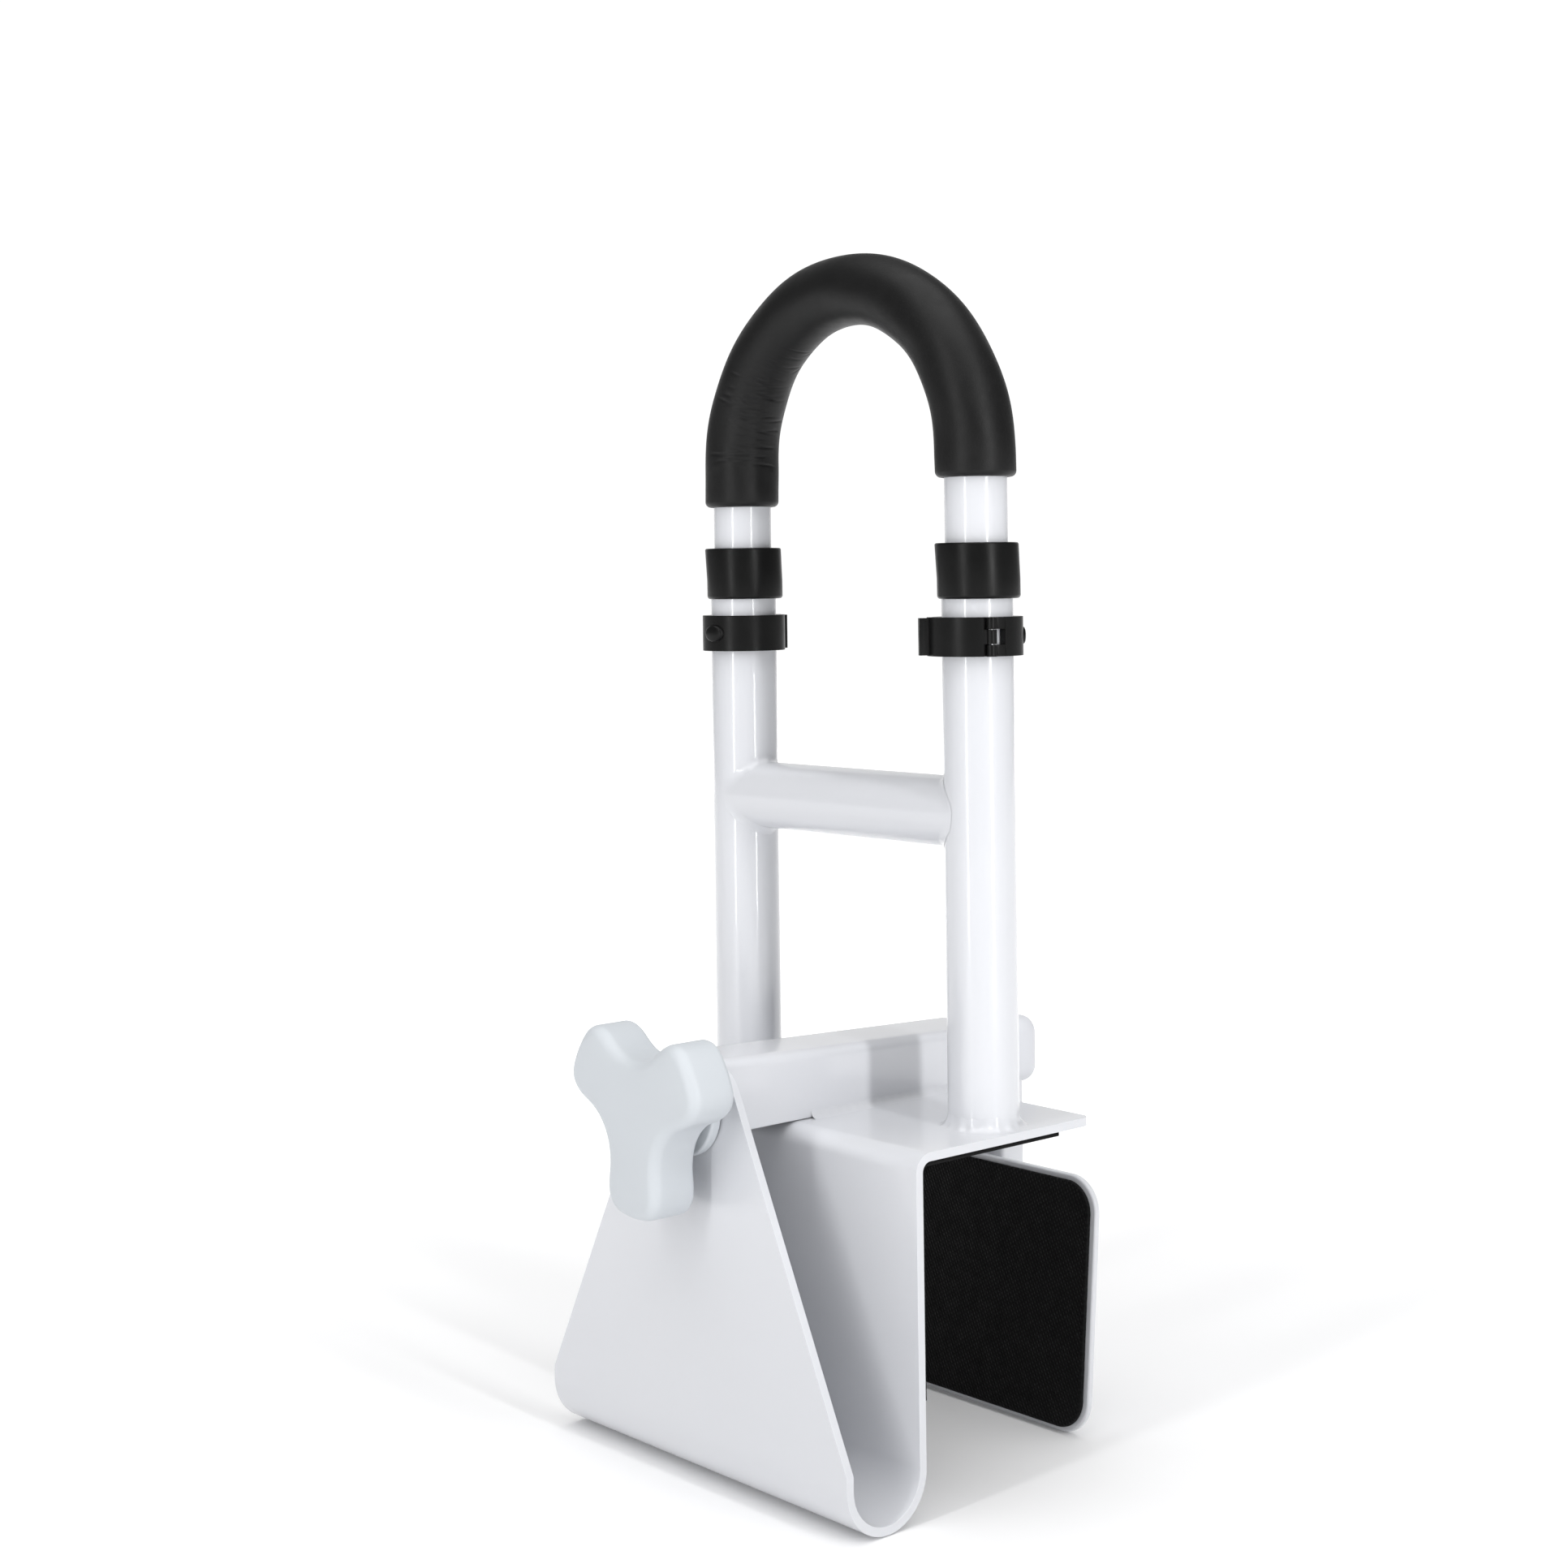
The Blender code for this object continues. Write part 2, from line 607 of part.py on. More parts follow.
def build_screw():
    """Hand knob, its thrust washer, the screw and the collar that keeps it in the panel."""
    axis = add_axis("knob_axis", (KNOB_BACK_X, 0, SCREW_Z))
    origin = (KNOB_BACK_X, 0, SCREW_Z)
    bm = bmesh.new()
    outline = knob_outline()
    loops = []
    for x, shrink in ((KNOB_FRONT_X, 0.93), (KNOB_FRONT_X + 0.001, 0.975), (KNOB_FRONT_X + 0.003, 1.0),
                      (KNOB_BACK_X - 0.007, 1.0), (KNOB_BACK_X - 0.0035, 0.985),
                      (KNOB_BACK_X - 0.001, 0.94), (KNOB_BACK_X, 0.89)):
        loops.append([bm.verts.new((x, y * shrink, SCREW_Z + z * shrink)) for y, z in outline])
    join_loops(bm, loops, closed=False)
    bm.faces.new(loops[0])
    bm.faces.new(loops[-1])
    knob = add_object("knob", bm, "knob_plastic", origin, axis)
    hub = rod(0.0140, KNOB_BACK_X - 0.004, KNOB_HUB_END_X, (0, 0, SCREW_Z), "X", 24)
    merge(knob, hub, "cutter_knob_hub")
    socket = rod(SCREW_R + GAP, KNOB_BACK_X - 0.008, KNOB_HUB_END_X + 0.01, (0, 0, SCREW_Z), "X", 24)
    cut(knob, socket, "cutter_knob_socket")

    washer_low = KNOB_HUB_END_X + GAP
    washer_high = -0.0926
    ring = [(SCREW_R + GAP, washer_low), (FLANGE_R, washer_low), (FLANGE_R, washer_high - 0.001),
            (FLANGE_R - 0.001, washer_high), (SCREW_R + GAP, washer_high)]
    bm = turn_profile(ring, (0, 0, SCREW_Z), "X", 32)
    add_object("thrust_washer", bm, "knob_plastic", origin, axis)

    bm = rod(SCREW_R, KNOB_BACK_X - 0.0077, 0.0360, (0, 0, SCREW_Z), "X", 24, 0.001)
    add_object("clamp_screw", bm, "zinc_steel", origin, axis)

    ring = [(SCREW_R + GAP, -0.0868), (0.0100, -0.0868), (0.0100, -0.0808), (SCREW_R + GAP, -0.0808)]
    bm = turn_profile(ring, (0, 0, SCREW_Z), "X", 24)
    add_object("screw_retainer", bm, "zinc_steel", origin, axis)


# ---------------------------------------------------------------- sliding jaw
def build_arm():
    """Square slide tube in the housing with its nut, end cap and the post that carries the jaw."""
    end_x = POST_X + POST_DEPTH
    middle = (0, 0, SCREW_Z)
    axis = add_axis("jaw_slide_axis", middle)
    outer = rounded_rectangle(ARM_HALF_Y, ARM_HALF_Z, 0.002, 3, (0, SCREW_Z))
    bm = extrude_outline(outer, ARM_START_X, end_x, "X")
    arm = add_object("slide_arm", bm, "white_steel", middle, axis)
    hole = rounded_rectangle(ARM_HALF_Y - ARM_WALL, ARM_HALF_Z - ARM_WALL, 0.001, 2, (0, SCREW_Z))
    cut(arm, extrude_outline(hole, ARM_START_X - 0.01, end_x + 0.01, "X"), "cutter_arm_bore")

    inner_y = ARM_HALF_Y - ARM_WALL - GAP
    inner_z = ARM_HALF_Z - ARM_WALL - GAP
    block = rounded_rectangle(inner_y, inner_z, 0.001, 2, (0, SCREW_Z))
    nut = add_object("arm_nut", extrude_outline(block, ARM_START_X + 0.001, ARM_START_X + 0.015, "X"),
                     "zinc_steel", middle, axis)
    cut(nut, rod(SCREW_R + GAP, -0.05, 0.05, middle, "X", 24), "cutter_nut_bore")

    bm = bmesh.new()
    loops = []
    head = ((-CAP_SKIRT, 0.97), (0.0006 - CAP_SKIRT, 1.0), (0.4 * CAP_HEAD, 1.0),
            (0.7 * CAP_HEAD, 0.94), (0.92 * CAP_HEAD, 0.82), (CAP_HEAD, 0.66))
    for reach, size in head:
        x = end_x + reach
        outline = rounded_rectangle(CAP_HALF * size, CAP_HALF * size, 0.007 * size, 4, (0, CAP_Z))
        loops.append([bm.verts.new((x, y, z)) for y, z in outline])
    join_loops(bm, loops, closed=False)
    bm.faces.new(loops[0])
    bm.faces.new(loops[-1])
    cap = add_object("arm_end_cap", bm, "white_plastic", middle, axis)
    around = rounded_rectangle(ARM_HALF_Y + GAP, ARM_HALF_Z + GAP, 0.002, 3, (0, SCREW_Z))
    cut(cap, extrude_outline(around, end_x - 0.012, end_x + GAP, "X"), "cutter_cap_skirt")
    notch = box((end_x - 0.012, -ARM_HALF_Y - GAP, -0.002), (end_x + GAP, ARM_HALF_Y + GAP, SCREW_Z))
    cut(cap, notch, "cutter_cap_notch")
    plug = extrude_outline(rounded_rectangle(inner_y, inner_z, 0.001, 2, (0, SCREW_Z)),
                           end_x - 0.012, end_x + 0.002, "X")
    merge(cap, plug, "cutter_cap_plug")

    top = SCREW_Z - ARM_HALF_Z - GAP
    outer = rounded_rectangle(POST_DEPTH / 2, ARM_HALF_Y, 0.002, 3, (POST_X + POST_DEPTH / 2, 0))
    post = add_object("jaw_post", extrude_outline(outer, POST_BOTTOM_Z, top, "Z"),
                      "white_steel", middle, axis)
    bore = rounded_rectangle(POST_DEPTH / 2 - ARM_WALL, ARM_HALF_Y - ARM_WALL, 0.001, 2,
                             (POST_X + POST_DEPTH / 2, 0))
    cut(post, extrude_outline(bore, POST_BOTTOM_Z - 0.01, top + 0.01, "Z"), "cutter_post_bore")
    return axis


def build_jaw(axis):
    """Jaw plate with its rubber pad, and the folded wedge that sets the plate's toe-in."""
    middle = (0, 0, SCREW_Z)
    slope = math.tan(JAW_TOE_IN)
    height = (JAW_TOP_Z - BRACKET_BOTTOM_Z) / math.cos(JAW_TOE_IN)
    tilt = Matrix.Translation((JAW_FRONT_TOP_X, 0, JAW_TOP_Z)) @ Matrix.Rotation(JAW_TOE_IN, 4, "Y")

    outline = rounded_rectangle(JAW_HALF, height / 2, JAW_CORNER_R, 6, (0, -height / 2))
    bm = extrude_outline(outline, 0.0, JAW_SHEET, "X")
    bm.transform(tilt)
    add_object("jaw_plate", bm, "white_steel", middle, axis)

    half_y = JAW_HALF - JAW_PAD_INSET
    half_z = height / 2 - JAW_PAD_INSET
    outline = rounded_rectangle(half_y, half_z, JAW_CORNER_R - JAW_PAD_INSET, 6, (0, -height / 2))
    bm = extrude_outline(outline, -GAP - JAW_PAD, -GAP, "X")
    bm.transform(tilt)
    add_object("jaw_pad", bm, "black_rubber", middle, axis)

    back_top = JAW_FRONT_TOP_X + JAW_SHEET / math.cos(JAW_TOE_IN) + GAP
    high, low = JAW_TOP_Z - 0.006, POST_BOTTOM_Z + 0.004
    face = POST_X - GAP
    side = [(face, high), (face, low), (back_top - slope * (JAW_TOP_Z - low), low),
            (back_top - slope * (JAW_TOP_Z - high), high)]
    bm = extrude_outline(side, -ARM_HALF_Y, ARM_HALF_Y, "Y")
    add_object("jaw_wedge", bm, "white_steel", middle, axis)

    plug = rounded_rectangle(POST_DEPTH / 2, ARM_HALF_Y, 0.002, 3, (POST_X + POST_DEPTH / 2, 0))
    bm = extrude_outline(plug, POST_BOTTOM_Z - GAP - 0.003, POST_BOTTOM_Z - GAP, "Z")
    add_object("post_plug", bm, "white_plastic", middle, axis)


def build_glides():
    """Nylon strips between the slide tube and the housing's sides."""
    for side, label in ((-1, "near"), (1, "far")):
        inner = ARM_HALF_Y + 0.0002
        outer = HOUSING_HALF - HOUSING_WALL - GAP
        low_y, high_y = sorted((side * inner, side * outer))
        bm = box((0.004, low_y, SCREW_Z - 0.008), (0.040, high_y, SCREW_Z + 0.008))
        add_object(f"housing_glide_{label}", bm, "nylon")


def build_all():
    """Make every piece of the rail."""
    clear_scene()
    build_bracket_sheet()
    build_rim_pad()
    build_housing()
    build_glides()
    build_legs()
    build_handle()
    build_clip(-1, "near", NEAR_TAB)
    build_clip(1, "far", FAR_TAB)
    build_screw()
    build_jaw(build_arm())


build_all()
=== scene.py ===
"""Looks of the clamp-on bathtub safety rail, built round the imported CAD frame."""
import math
import random

import bmesh
import bpy
from mathutils import Matrix, Vector


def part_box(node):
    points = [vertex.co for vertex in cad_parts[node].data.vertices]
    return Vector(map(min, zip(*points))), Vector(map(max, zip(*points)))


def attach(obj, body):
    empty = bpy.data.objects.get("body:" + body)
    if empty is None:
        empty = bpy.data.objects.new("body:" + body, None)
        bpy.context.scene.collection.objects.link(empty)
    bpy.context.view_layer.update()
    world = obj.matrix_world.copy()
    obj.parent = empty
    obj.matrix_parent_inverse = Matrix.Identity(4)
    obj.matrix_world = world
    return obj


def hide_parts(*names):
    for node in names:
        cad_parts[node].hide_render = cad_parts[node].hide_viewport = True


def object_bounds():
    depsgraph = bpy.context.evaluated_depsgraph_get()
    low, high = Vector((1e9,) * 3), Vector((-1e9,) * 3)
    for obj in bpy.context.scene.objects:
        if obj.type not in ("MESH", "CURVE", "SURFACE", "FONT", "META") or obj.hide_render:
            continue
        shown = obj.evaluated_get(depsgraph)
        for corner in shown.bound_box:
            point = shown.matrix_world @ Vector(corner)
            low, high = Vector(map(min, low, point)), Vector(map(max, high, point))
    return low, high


random.seed(11)
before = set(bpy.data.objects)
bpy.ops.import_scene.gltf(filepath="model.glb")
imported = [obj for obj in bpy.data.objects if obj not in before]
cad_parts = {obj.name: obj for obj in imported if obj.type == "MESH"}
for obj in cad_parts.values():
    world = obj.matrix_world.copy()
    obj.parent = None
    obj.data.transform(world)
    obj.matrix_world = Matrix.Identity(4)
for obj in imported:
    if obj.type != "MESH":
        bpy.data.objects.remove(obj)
cad_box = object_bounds()

# ---------------------------------------------------------------- sizes shared with the CAD
GAP = 0.0003                     # clearance between touching pieces
SHEET = 0.0035                   # bracket steel
PAD = 0.0018                     # rim pad rubber
WALL_X = -0.0528                 # tub side of the inner wall
FOLD_R = 0.0205                  # U-bend, outside
BEND_R = 0.0075                  # plate to wall bend, outside
PLATE_CORNER_R = 0.0040
PANEL_CORNER_R = 0.0100
LEAN = math.radians(0.85)        # the outer panel leans in towards the wall
TAPER_START = -0.1080            # the panel is full width below this height
TOP_HALF = 0.0215                # half width of the panel at its top
TUBE_WALL = 0.0012
INNER_R = 0.0126                 # handle tube
HOLE_R = 0.0030
HOLE_STEP = 0.0254
FOAM_R = 0.0163
FOAM_APEX_R = 0.0150             # the foam is stretched thinner over the bend
CLIP_R = 0.0182
SCREW_R = 0.0059                 # a hair inside the CAD rod
HOUSING_WALL = 0.0018
HOUSING_TOP_JAW_END = 0.0301
KNOB_BACK_X = -0.1005            # back of the lobes
KNOB_REACH = 0.0413
KNOB_LOBE_HALF = 0.0158
KNOB_TURN = 1.5                  # degrees the lowest lobe stands off straight down
CAP_SKIRT = 0.0064               # how far the cap reaches back over the slide arm
JAW_TOP = (0.0659, 0, -0.0277)   # upper front edge of the jaw plate
JAW_TOE_IN = math.radians(4.5)
JAW_SHEET = 0.0030
JAW_PAD = 0.0020
JAW_CORNER_R = 0.0150

# ---------------------------------------------------------------- sizes read from the frame
leg_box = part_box("outer_tube_far")
OUTER_R = (leg_box[1].x - leg_box[0].x) / 2
LEG_Y = (leg_box[0].y + leg_box[1].y) / 2
PLATE_TOP = leg_box[0].z - GAP
OUTER_TOP = leg_box[1].z
bar_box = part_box("crossbar")
BAR_Z = (bar_box[0].z + bar_box[1].z) / 2
handle_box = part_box("handle_tube")
ARCH_Z = handle_box[1].z - INNER_R - LEG_Y
INNER_LOW = handle_box[0].z
nut_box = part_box("arm_nut")
SCREW_Z = (nut_box[0].z + nut_box[1].z) / 2
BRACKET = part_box("bracket_sheet")
HALF_WIDTH = BRACKET[1].y
PLATE_END = BRACKET[1].x
PANEL_TOP = BRACKET[1].z

LEGS = (("near", -1), ("far", 1))
ROUND = 96                       # sides of a turned piece


# ---------------------------------------------------------------- mesh helpers
def link(item):
    """Put an object into the scene and hand it back."""
    bpy.context.scene.collection.objects.link(item)
    return item


def mesh_from(name, bm):
    """Turn a bmesh into a named mesh and free it."""
    mesh = bpy.data.meshes.new(name)
    bm.to_mesh(mesh)
    bm.free()
    return mesh


def round_edges(piece, width, segments, limit=40):
    """Round the edges that are sharper than a limit in degrees."""
    step = piece.modifiers.new("round_edges", "BEVEL")
    step.width = width
    step.segments = segments
    step.limit_method = "ANGLE"
    step.angle_limit = math.radians(limit)
    step.harden_normals = True
    piece.data.set_sharp_from_angle(angle=math.radians(60))


def make(name, bm, material, body, smooth_angle=35, bevel=0.0, segments=3):
    """Finish a bmesh as a visible piece, with smooth or rounded edges, that rides on a body."""
    bmesh.ops.recalc_face_normals(bm, faces=bm.faces)
    mesh = mesh_from(name, bm)
    mesh.materials.append(material)
    mesh.shade_smooth()
    piece = link(bpy.data.objects.new(name, mesh))
    if bevel:
        round_edges(piece, bevel, segments)
    else:
        mesh.set_sharp_from_angle(angle=math.radians(smooth_angle))
    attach(piece, body)
    return piece


def softened(node, name, material, body, bevel):
    """A copy of a CAD node with rounded edges, shown in its place."""
    bm = bmesh.new()
    bm.from_mesh(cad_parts[node].data)
    bmesh.ops.remove_doubles(bm, verts=bm.verts, dist=0.00001)
    bmesh.ops.dissolve_limit(bm, angle_limit=math.radians(1), verts=bm.verts, edges=bm.edges)
    piece = make(name, bm, material, body, bevel=bevel, segments=2)
    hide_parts(node)
    return piece


def skin(bm, loops, closed=False, caps=True):
    """Join equal loops of vertices with quads and cap the two ends."""
    pairs = list(zip(loops, loops[1:]))
    if closed:
        pairs.append((loops[-1], loops[0]))
    for low, high in pairs:
        for i in range(len(low)):
            j = (i + 1) % len(low)
            bm.faces.new((low[i], low[j], high[j], high[i]))
    if caps and not closed:
        bm.faces.new(loops[0])
        bm.faces.new(loops[-1])


def lathe(profile, centre, axis="Z", sides=ROUND, shape=None):
    """Turn a closed (radius, height) profile; shape may change the radius with angle and height."""
    bm = bmesh.new()
    loops = []
    for i in range(sides):
        angle = 2 * math.pi * i / sides
        loop = []
        for radius, height in profile:
            if shape:
                radius = shape(radius, height, angle)
            side, up = radius * math.cos(angle), radius * math.sin(angle)
            offset = (side, up, height) if axis == "Z" else (height, side, up)
            loop.append(bm.verts.new(Vector(centre) + Vector(offset)))
        loops.append(loop)
    skin(bm, loops, closed=True)
    return bm


def fillet(points, radius_of):
    """Round the listed corners of a closed 2-D profile; radius_of maps corner index to radius."""
    steps = 5
    result = []
    count = len(points)
    for i, corner in enumerate(points):
        radius = radius_of.get(i, 0.0)
        if not radius:
            result.append(corner)
            continue
        here = Vector(corner)
        before = (Vector(points[i - 1]) - here).normalized()
        after = (Vector(points[(i + 1) % count]) - here).normalized()
        half = before.angle(after) / 2
        reach = radius / math.tan(half)
        middle = here + (before + after).normalized() * (radius / math.sin(half))
        start = here + before * reach - middle
        end = here + after * reach - middle
        turn = start.angle_signed(end)
        for k in range(steps + 1):
            part = Matrix.Rotation(-turn * k / steps, 2) @ start
            result.append(tuple(middle + part))
    return result


def arc(centre, radius, start, end, steps):
    """Points on an arc, both ends included."""
    points = []
    for i in range(steps + 1):
        angle = start + (end - start) * i / steps
        points.append((centre[0] + radius * math.cos(angle), centre[1] + radius * math.sin(angle)))
    return points


def rounded_rectangle(half_a, half_b, radius, steps, centre=(0.0, 0.0)):
    """Outline of a rectangle with round corners."""
    outline = []
    for sign_a, sign_b, start in ((1, 1, 0), (-1, 1, 90), (-1, -1, 180), (1, -1, 270)):
        middle = (centre[0] + sign_a * (half_a - radius), centre[1] + sign_b * (half_b - radius))
        first = math.radians(start)
        outline += arc(middle, radius, first, first + math.pi / 2, steps)
    return outline


def prism(outline, stations, middle=(0.0, 0.0)):
    """Loft a (y, z) outline along X through stations of (x, scale about the middle)."""
    bm = bmesh.new()
    loops = []
    for x, size in stations:
        loops.append([bm.verts.new((x, middle[0] + (y - middle[0]) * size,
                                    middle[1] + (z - middle[1]) * size)) for y, z in outline])
    skin(bm, loops)
    return bm


def drill(piece, cutters):
    """Cut shapes out of a piece and keep only the result."""
    for cutter in cutters:
        step = piece.modifiers.new("drill", "BOOLEAN")
        step.operation = "DIFFERENCE"
        step.solver = "EXACT"
        step.object = cutter
    bpy.context.view_layer.update()
    cut_piece = piece.evaluated_get(bpy.context.evaluated_depsgraph_get())
    result = bpy.data.meshes.new_from_object(cut_piece)
    piece.modifiers.clear()
    piece.data = result
    for cutter in cutters:
        bpy.data.objects.remove(cutter, do_unlink=True)


def bar_cutter(radius, start, end, sides=20):
    """A temporary round bar between two points, to drill with."""
    bm = bmesh.new()
    way = Vector(end) - Vector(start)
    turn = way.to_track_quat("Z", "Y").to_matrix().to_4x4()
    bmesh.ops.create_cone(bm, cap_ends=True, segments=sides, radius1=radius, radius2=radius,
                          depth=way.length, matrix=Matrix.Translation((0, 0, way.length / 2)))
    bm.transform(Matrix.Translation(Vector(start)) @ turn)
    return link(bpy.data.objects.new("cutter", mesh_from("cutter", bm)))


def weld(name, sections, body, closed=True, ripple=0.10):
    """A smooth weld: hollow strips between two joined faces, given as (face, corner, face) points."""
    bm = bmesh.new()
    rows = []
    run = 0.0
    for i, (first, corner, second) in enumerate(sections):
        first, corner, second = Vector(first), Vector(corner), Vector(second)
        run += (corner - Vector(sections[i - 1][1])).length if i else 0.0
        wave = 0.5 * math.sin(run * 1250) + 0.35 * math.sin(run * 560 + 1) + 0.3 * math.sin(run * 233)
        swell = 1 + ripple * wave
        first = corner + (first - corner) * swell
        second = corner + (second - corner) * swell
        row = []
        for k in range(9):
            t = k / 8
            pull = corner + (first + second - 2 * corner) * 0.10
            spot = first * (1 - t) ** 2 + pull * 2 * t * (1 - t) + second * t ** 2
            row.append(bm.verts.new(spot))
        rows.append(row)
    pairs = list(zip(rows, rows[1:])) + ([(rows[-1], rows[0])] if closed else [])
    for low, high in pairs:
        for k in range(8):
            bm.faces.new((low[k], low[k + 1], high[k + 1], high[k]))
    make(name, bm, COAT, body, smooth_angle=80)


# ---------------------------------------------------------------- materials
def new_material(name, colour, roughness):
    """A Principled material and its node tools."""
    material = bpy.data.materials.new(name)
    material.use_nodes = True
    nodes, links = material.node_tree.nodes, material.node_tree.links
    shader = nodes["Principled BSDF"]
    shader.inputs["Base Color"].default_value = (*colour, 1.0)
    shader.inputs["Roughness"].default_value = roughness
    return material, nodes, links, shader


def noise(nodes, links, scale, detail=3.0):
    """A noise texture in object coordinates."""
    texture = nodes.new("ShaderNodeTexNoise")
    texture.inputs["Scale"].default_value = scale
    texture.inputs["Detail"].default_value = detail
    links.new(nodes.new("ShaderNodeTexCoord").outputs["Object"], texture.inputs["Vector"])
    return texture.outputs["Fac"]


def spread(nodes, links, source, low, high):
    """Map the middle part of a noise to a range of values."""
    step = nodes.new("ShaderNodeMapRange")
    step.inputs["From Min"].default_value = 0.3
    step.inputs["From Max"].default_value = 0.7
    step.inputs["To Min"].default_value = low
    step.inputs["To Max"].default_value = high
    links.new(source, step.inputs["Value"])
    return step.outputs["Result"]


def tint(nodes, links, source, dark, light):
    """Map the middle part of a noise to a blend of two close colours."""
    ramp = nodes.new("ShaderNodeValToRGB")
    ramp.color_ramp.elements[0].position = 0.35
    ramp.color_ramp.elements[1].position = 0.65
    ramp.color_ramp.elements[0].color = (*dark, 1.0)
    ramp.color_ramp.elements[1].color = (*light, 1.0)
    links.new(source, ramp.inputs["Fac"])
    return ramp.outputs["Color"]


def vary(nodes, links, shader, colour_noise, colours, roughness_noise, roughness):
    """Let colour and roughness wander between two values; a noise is (scale, detail)."""
    colour = tint(nodes, links, noise(nodes, links, *colour_noise), *colours)
    links.new(colour, shader.inputs["Base Color"])
    shine = spread(nodes, links, noise(nodes, links, *roughness_noise), *roughness)
    links.new(shine, shader.inputs["Roughness"])


def bump(nodes, links, shader, source, strength, distance, normal=None):
    """Add surface relief; returns the bump's normal so that another can follow it."""
    step = nodes.new("ShaderNodeBump")
    step.inputs["Strength"].default_value = strength
    step.inputs["Distance"].default_value = distance
    links.new(source, step.inputs["Height"])
    if normal is not None:
        links.new(normal, step.inputs["Normal"])
    links.new(step.outputs["Normal"], shader.inputs["Normal"])
    return step.outputs["Normal"]


def powder_coat():
    """Gloss white powder coat: a faint orange peel under a clear gloss."""
    material, nodes, links, shader = new_material("powder_coat", (0.66, 0.67, 0.70), 0.3)
    vary(nodes, links, shader, (9.0, 3.0), ((0.658, 0.668, 0.699), (0.663, 0.673, 0.702)),
         (14.0, 3.0), (0.29, 0.31))
    shader.inputs["Coat Weight"].default_value = 0.6
    shader.inputs["Coat Roughness"].default_value = 0.08
    shader.inputs["Specular IOR Level"].default_value = 0.4
    bump(nodes, links, shader, noise(nodes, links, 420.0, 1.0), 0.02, 0.0002)
    return material


def moulded(name, colour, roughness, grain, depth, mottle, gloss=0.5):
    """Satin injection-moulded plastic with a fine grain."""
    material, nodes, links, shader = new_material(name, colour, roughness)
    darker = tuple((1 - mottle) * c for c in colour)
    lighter = tuple((1 + mottle) * c for c in colour)
    vary(nodes, links, shader, (60.0, 4.0), (darker, lighter),
         (120.0, 4.0), (roughness - 0.03, roughness + 0.04))
    shader.inputs["Specular IOR Level"].default_value = gloss
    bump(nodes, links, shader, noise(nodes, links, grain, 2.0), depth, 0.00015)
    return material


def foam():
    """Black skinned foam: fine pores and a satin sheen."""
    material, nodes, links, shader = new_material("foam_skin", (0.0042, 0.0042, 0.0043), 0.42)
    vary(nodes, links, shader, (70.0, 5.0), ((0.0038, 0.0038, 0.0039), (0.0046, 0.0046, 0.0047)),
         (160.0, 4.0), (0.42, 0.50))
    shader.inputs["Specular IOR Level"].default_value = 0.25
    shader.inputs["Sheen Weight"].default_value = 0.01
    shader.inputs["Sheen Roughness"].default_value = 0.4
    normal = bump(nodes, links, shader, noise(nodes, links, 2600.0, 2.0), 0.18, 0.0002)
    bump(nodes, links, shader, noise(nodes, links, 700.0, 3.0), 0.10, 0.0003, normal)
    return material


def pad_rubber():
    """Black rubber with a fine crossed-diagonal tread."""
    material, nodes, links, shader = new_material("tread_rubber", (0.0035, 0.0035, 0.0036), 0.62)
    vary(nodes, links, shader, (60.0, 5.0), ((0.0030, 0.0030, 0.0031), (0.0042, 0.0042, 0.0044)),
         (200.0, 4.0), (0.52, 0.70))
    shader.inputs["Specular IOR Level"].default_value = 0.12
    place = nodes.new("ShaderNodeTexCoord")
    heights = []
    for turn in (32, -58):
        lean = nodes.new("ShaderNodeMapping")
        lean.inputs["Rotation"].default_value = (math.radians(turn), 0, 0)
        links.new(place.outputs["Object"], lean.inputs["Vector"])
        ribs = nodes.new("ShaderNodeTexWave")
        ribs.bands_direction = "Z"
        ribs.inputs["Scale"].default_value = 190.0
        ribs.inputs["Distortion"].default_value = 0.4
        ribs.inputs["Detail"].default_value = 1.0
        links.new(lean.outputs["Vector"], ribs.inputs["Vector"])
        heights.append(ribs.outputs["Fac"])
    weave = nodes.new("ShaderNodeMath")
    weave.operation = "MULTIPLY"
    links.new(heights[0], weave.inputs[0])
    links.new(heights[1], weave.inputs[1])
    bump(nodes, links, shader, weave.outputs["Value"], 0.6, 0.0005)
    return material


def zinc():
    """Bright zinc plating with faint turning marks."""
    material, nodes, links, shader = new_material("zinc_plate", (0.62, 0.63, 0.65), 0.32)
    vary(nodes, links, shader, (140.0, 4.0), ((0.54, 0.55, 0.57), (0.68, 0.69, 0.70)),
         (300.0, 3.0), (0.24, 0.42))
    shader.inputs["Metallic"].default_value = 1.0
    bump(nodes, links, shader, noise(nodes, links, 1800.0, 2.0), 0.06, 0.0001)
    return material


COAT = powder_coat()
FOAM = foam()
RUBBER = pad_rubber()
BLACK = moulded("black_moulding", (0.0042, 0.0043, 0.0043), 0.33, 1500.0, 0.12, 0.12, 0.17)
KNOB = moulded("knob_moulding", (0.565, 0.595, 0.625), 0.42, 1100.0, 0.03, 0.006, 0.35)
WHITE = moulded("white_moulding", (0.66, 0.67, 0.705), 0.36, 1100.0, 0.03, 0.006, 0.4)
NYLON = moulded("nylon", (0.66, 0.65, 0.61), 0.5, 1500.0, 0.10, 0.02)
ZINC = zinc()


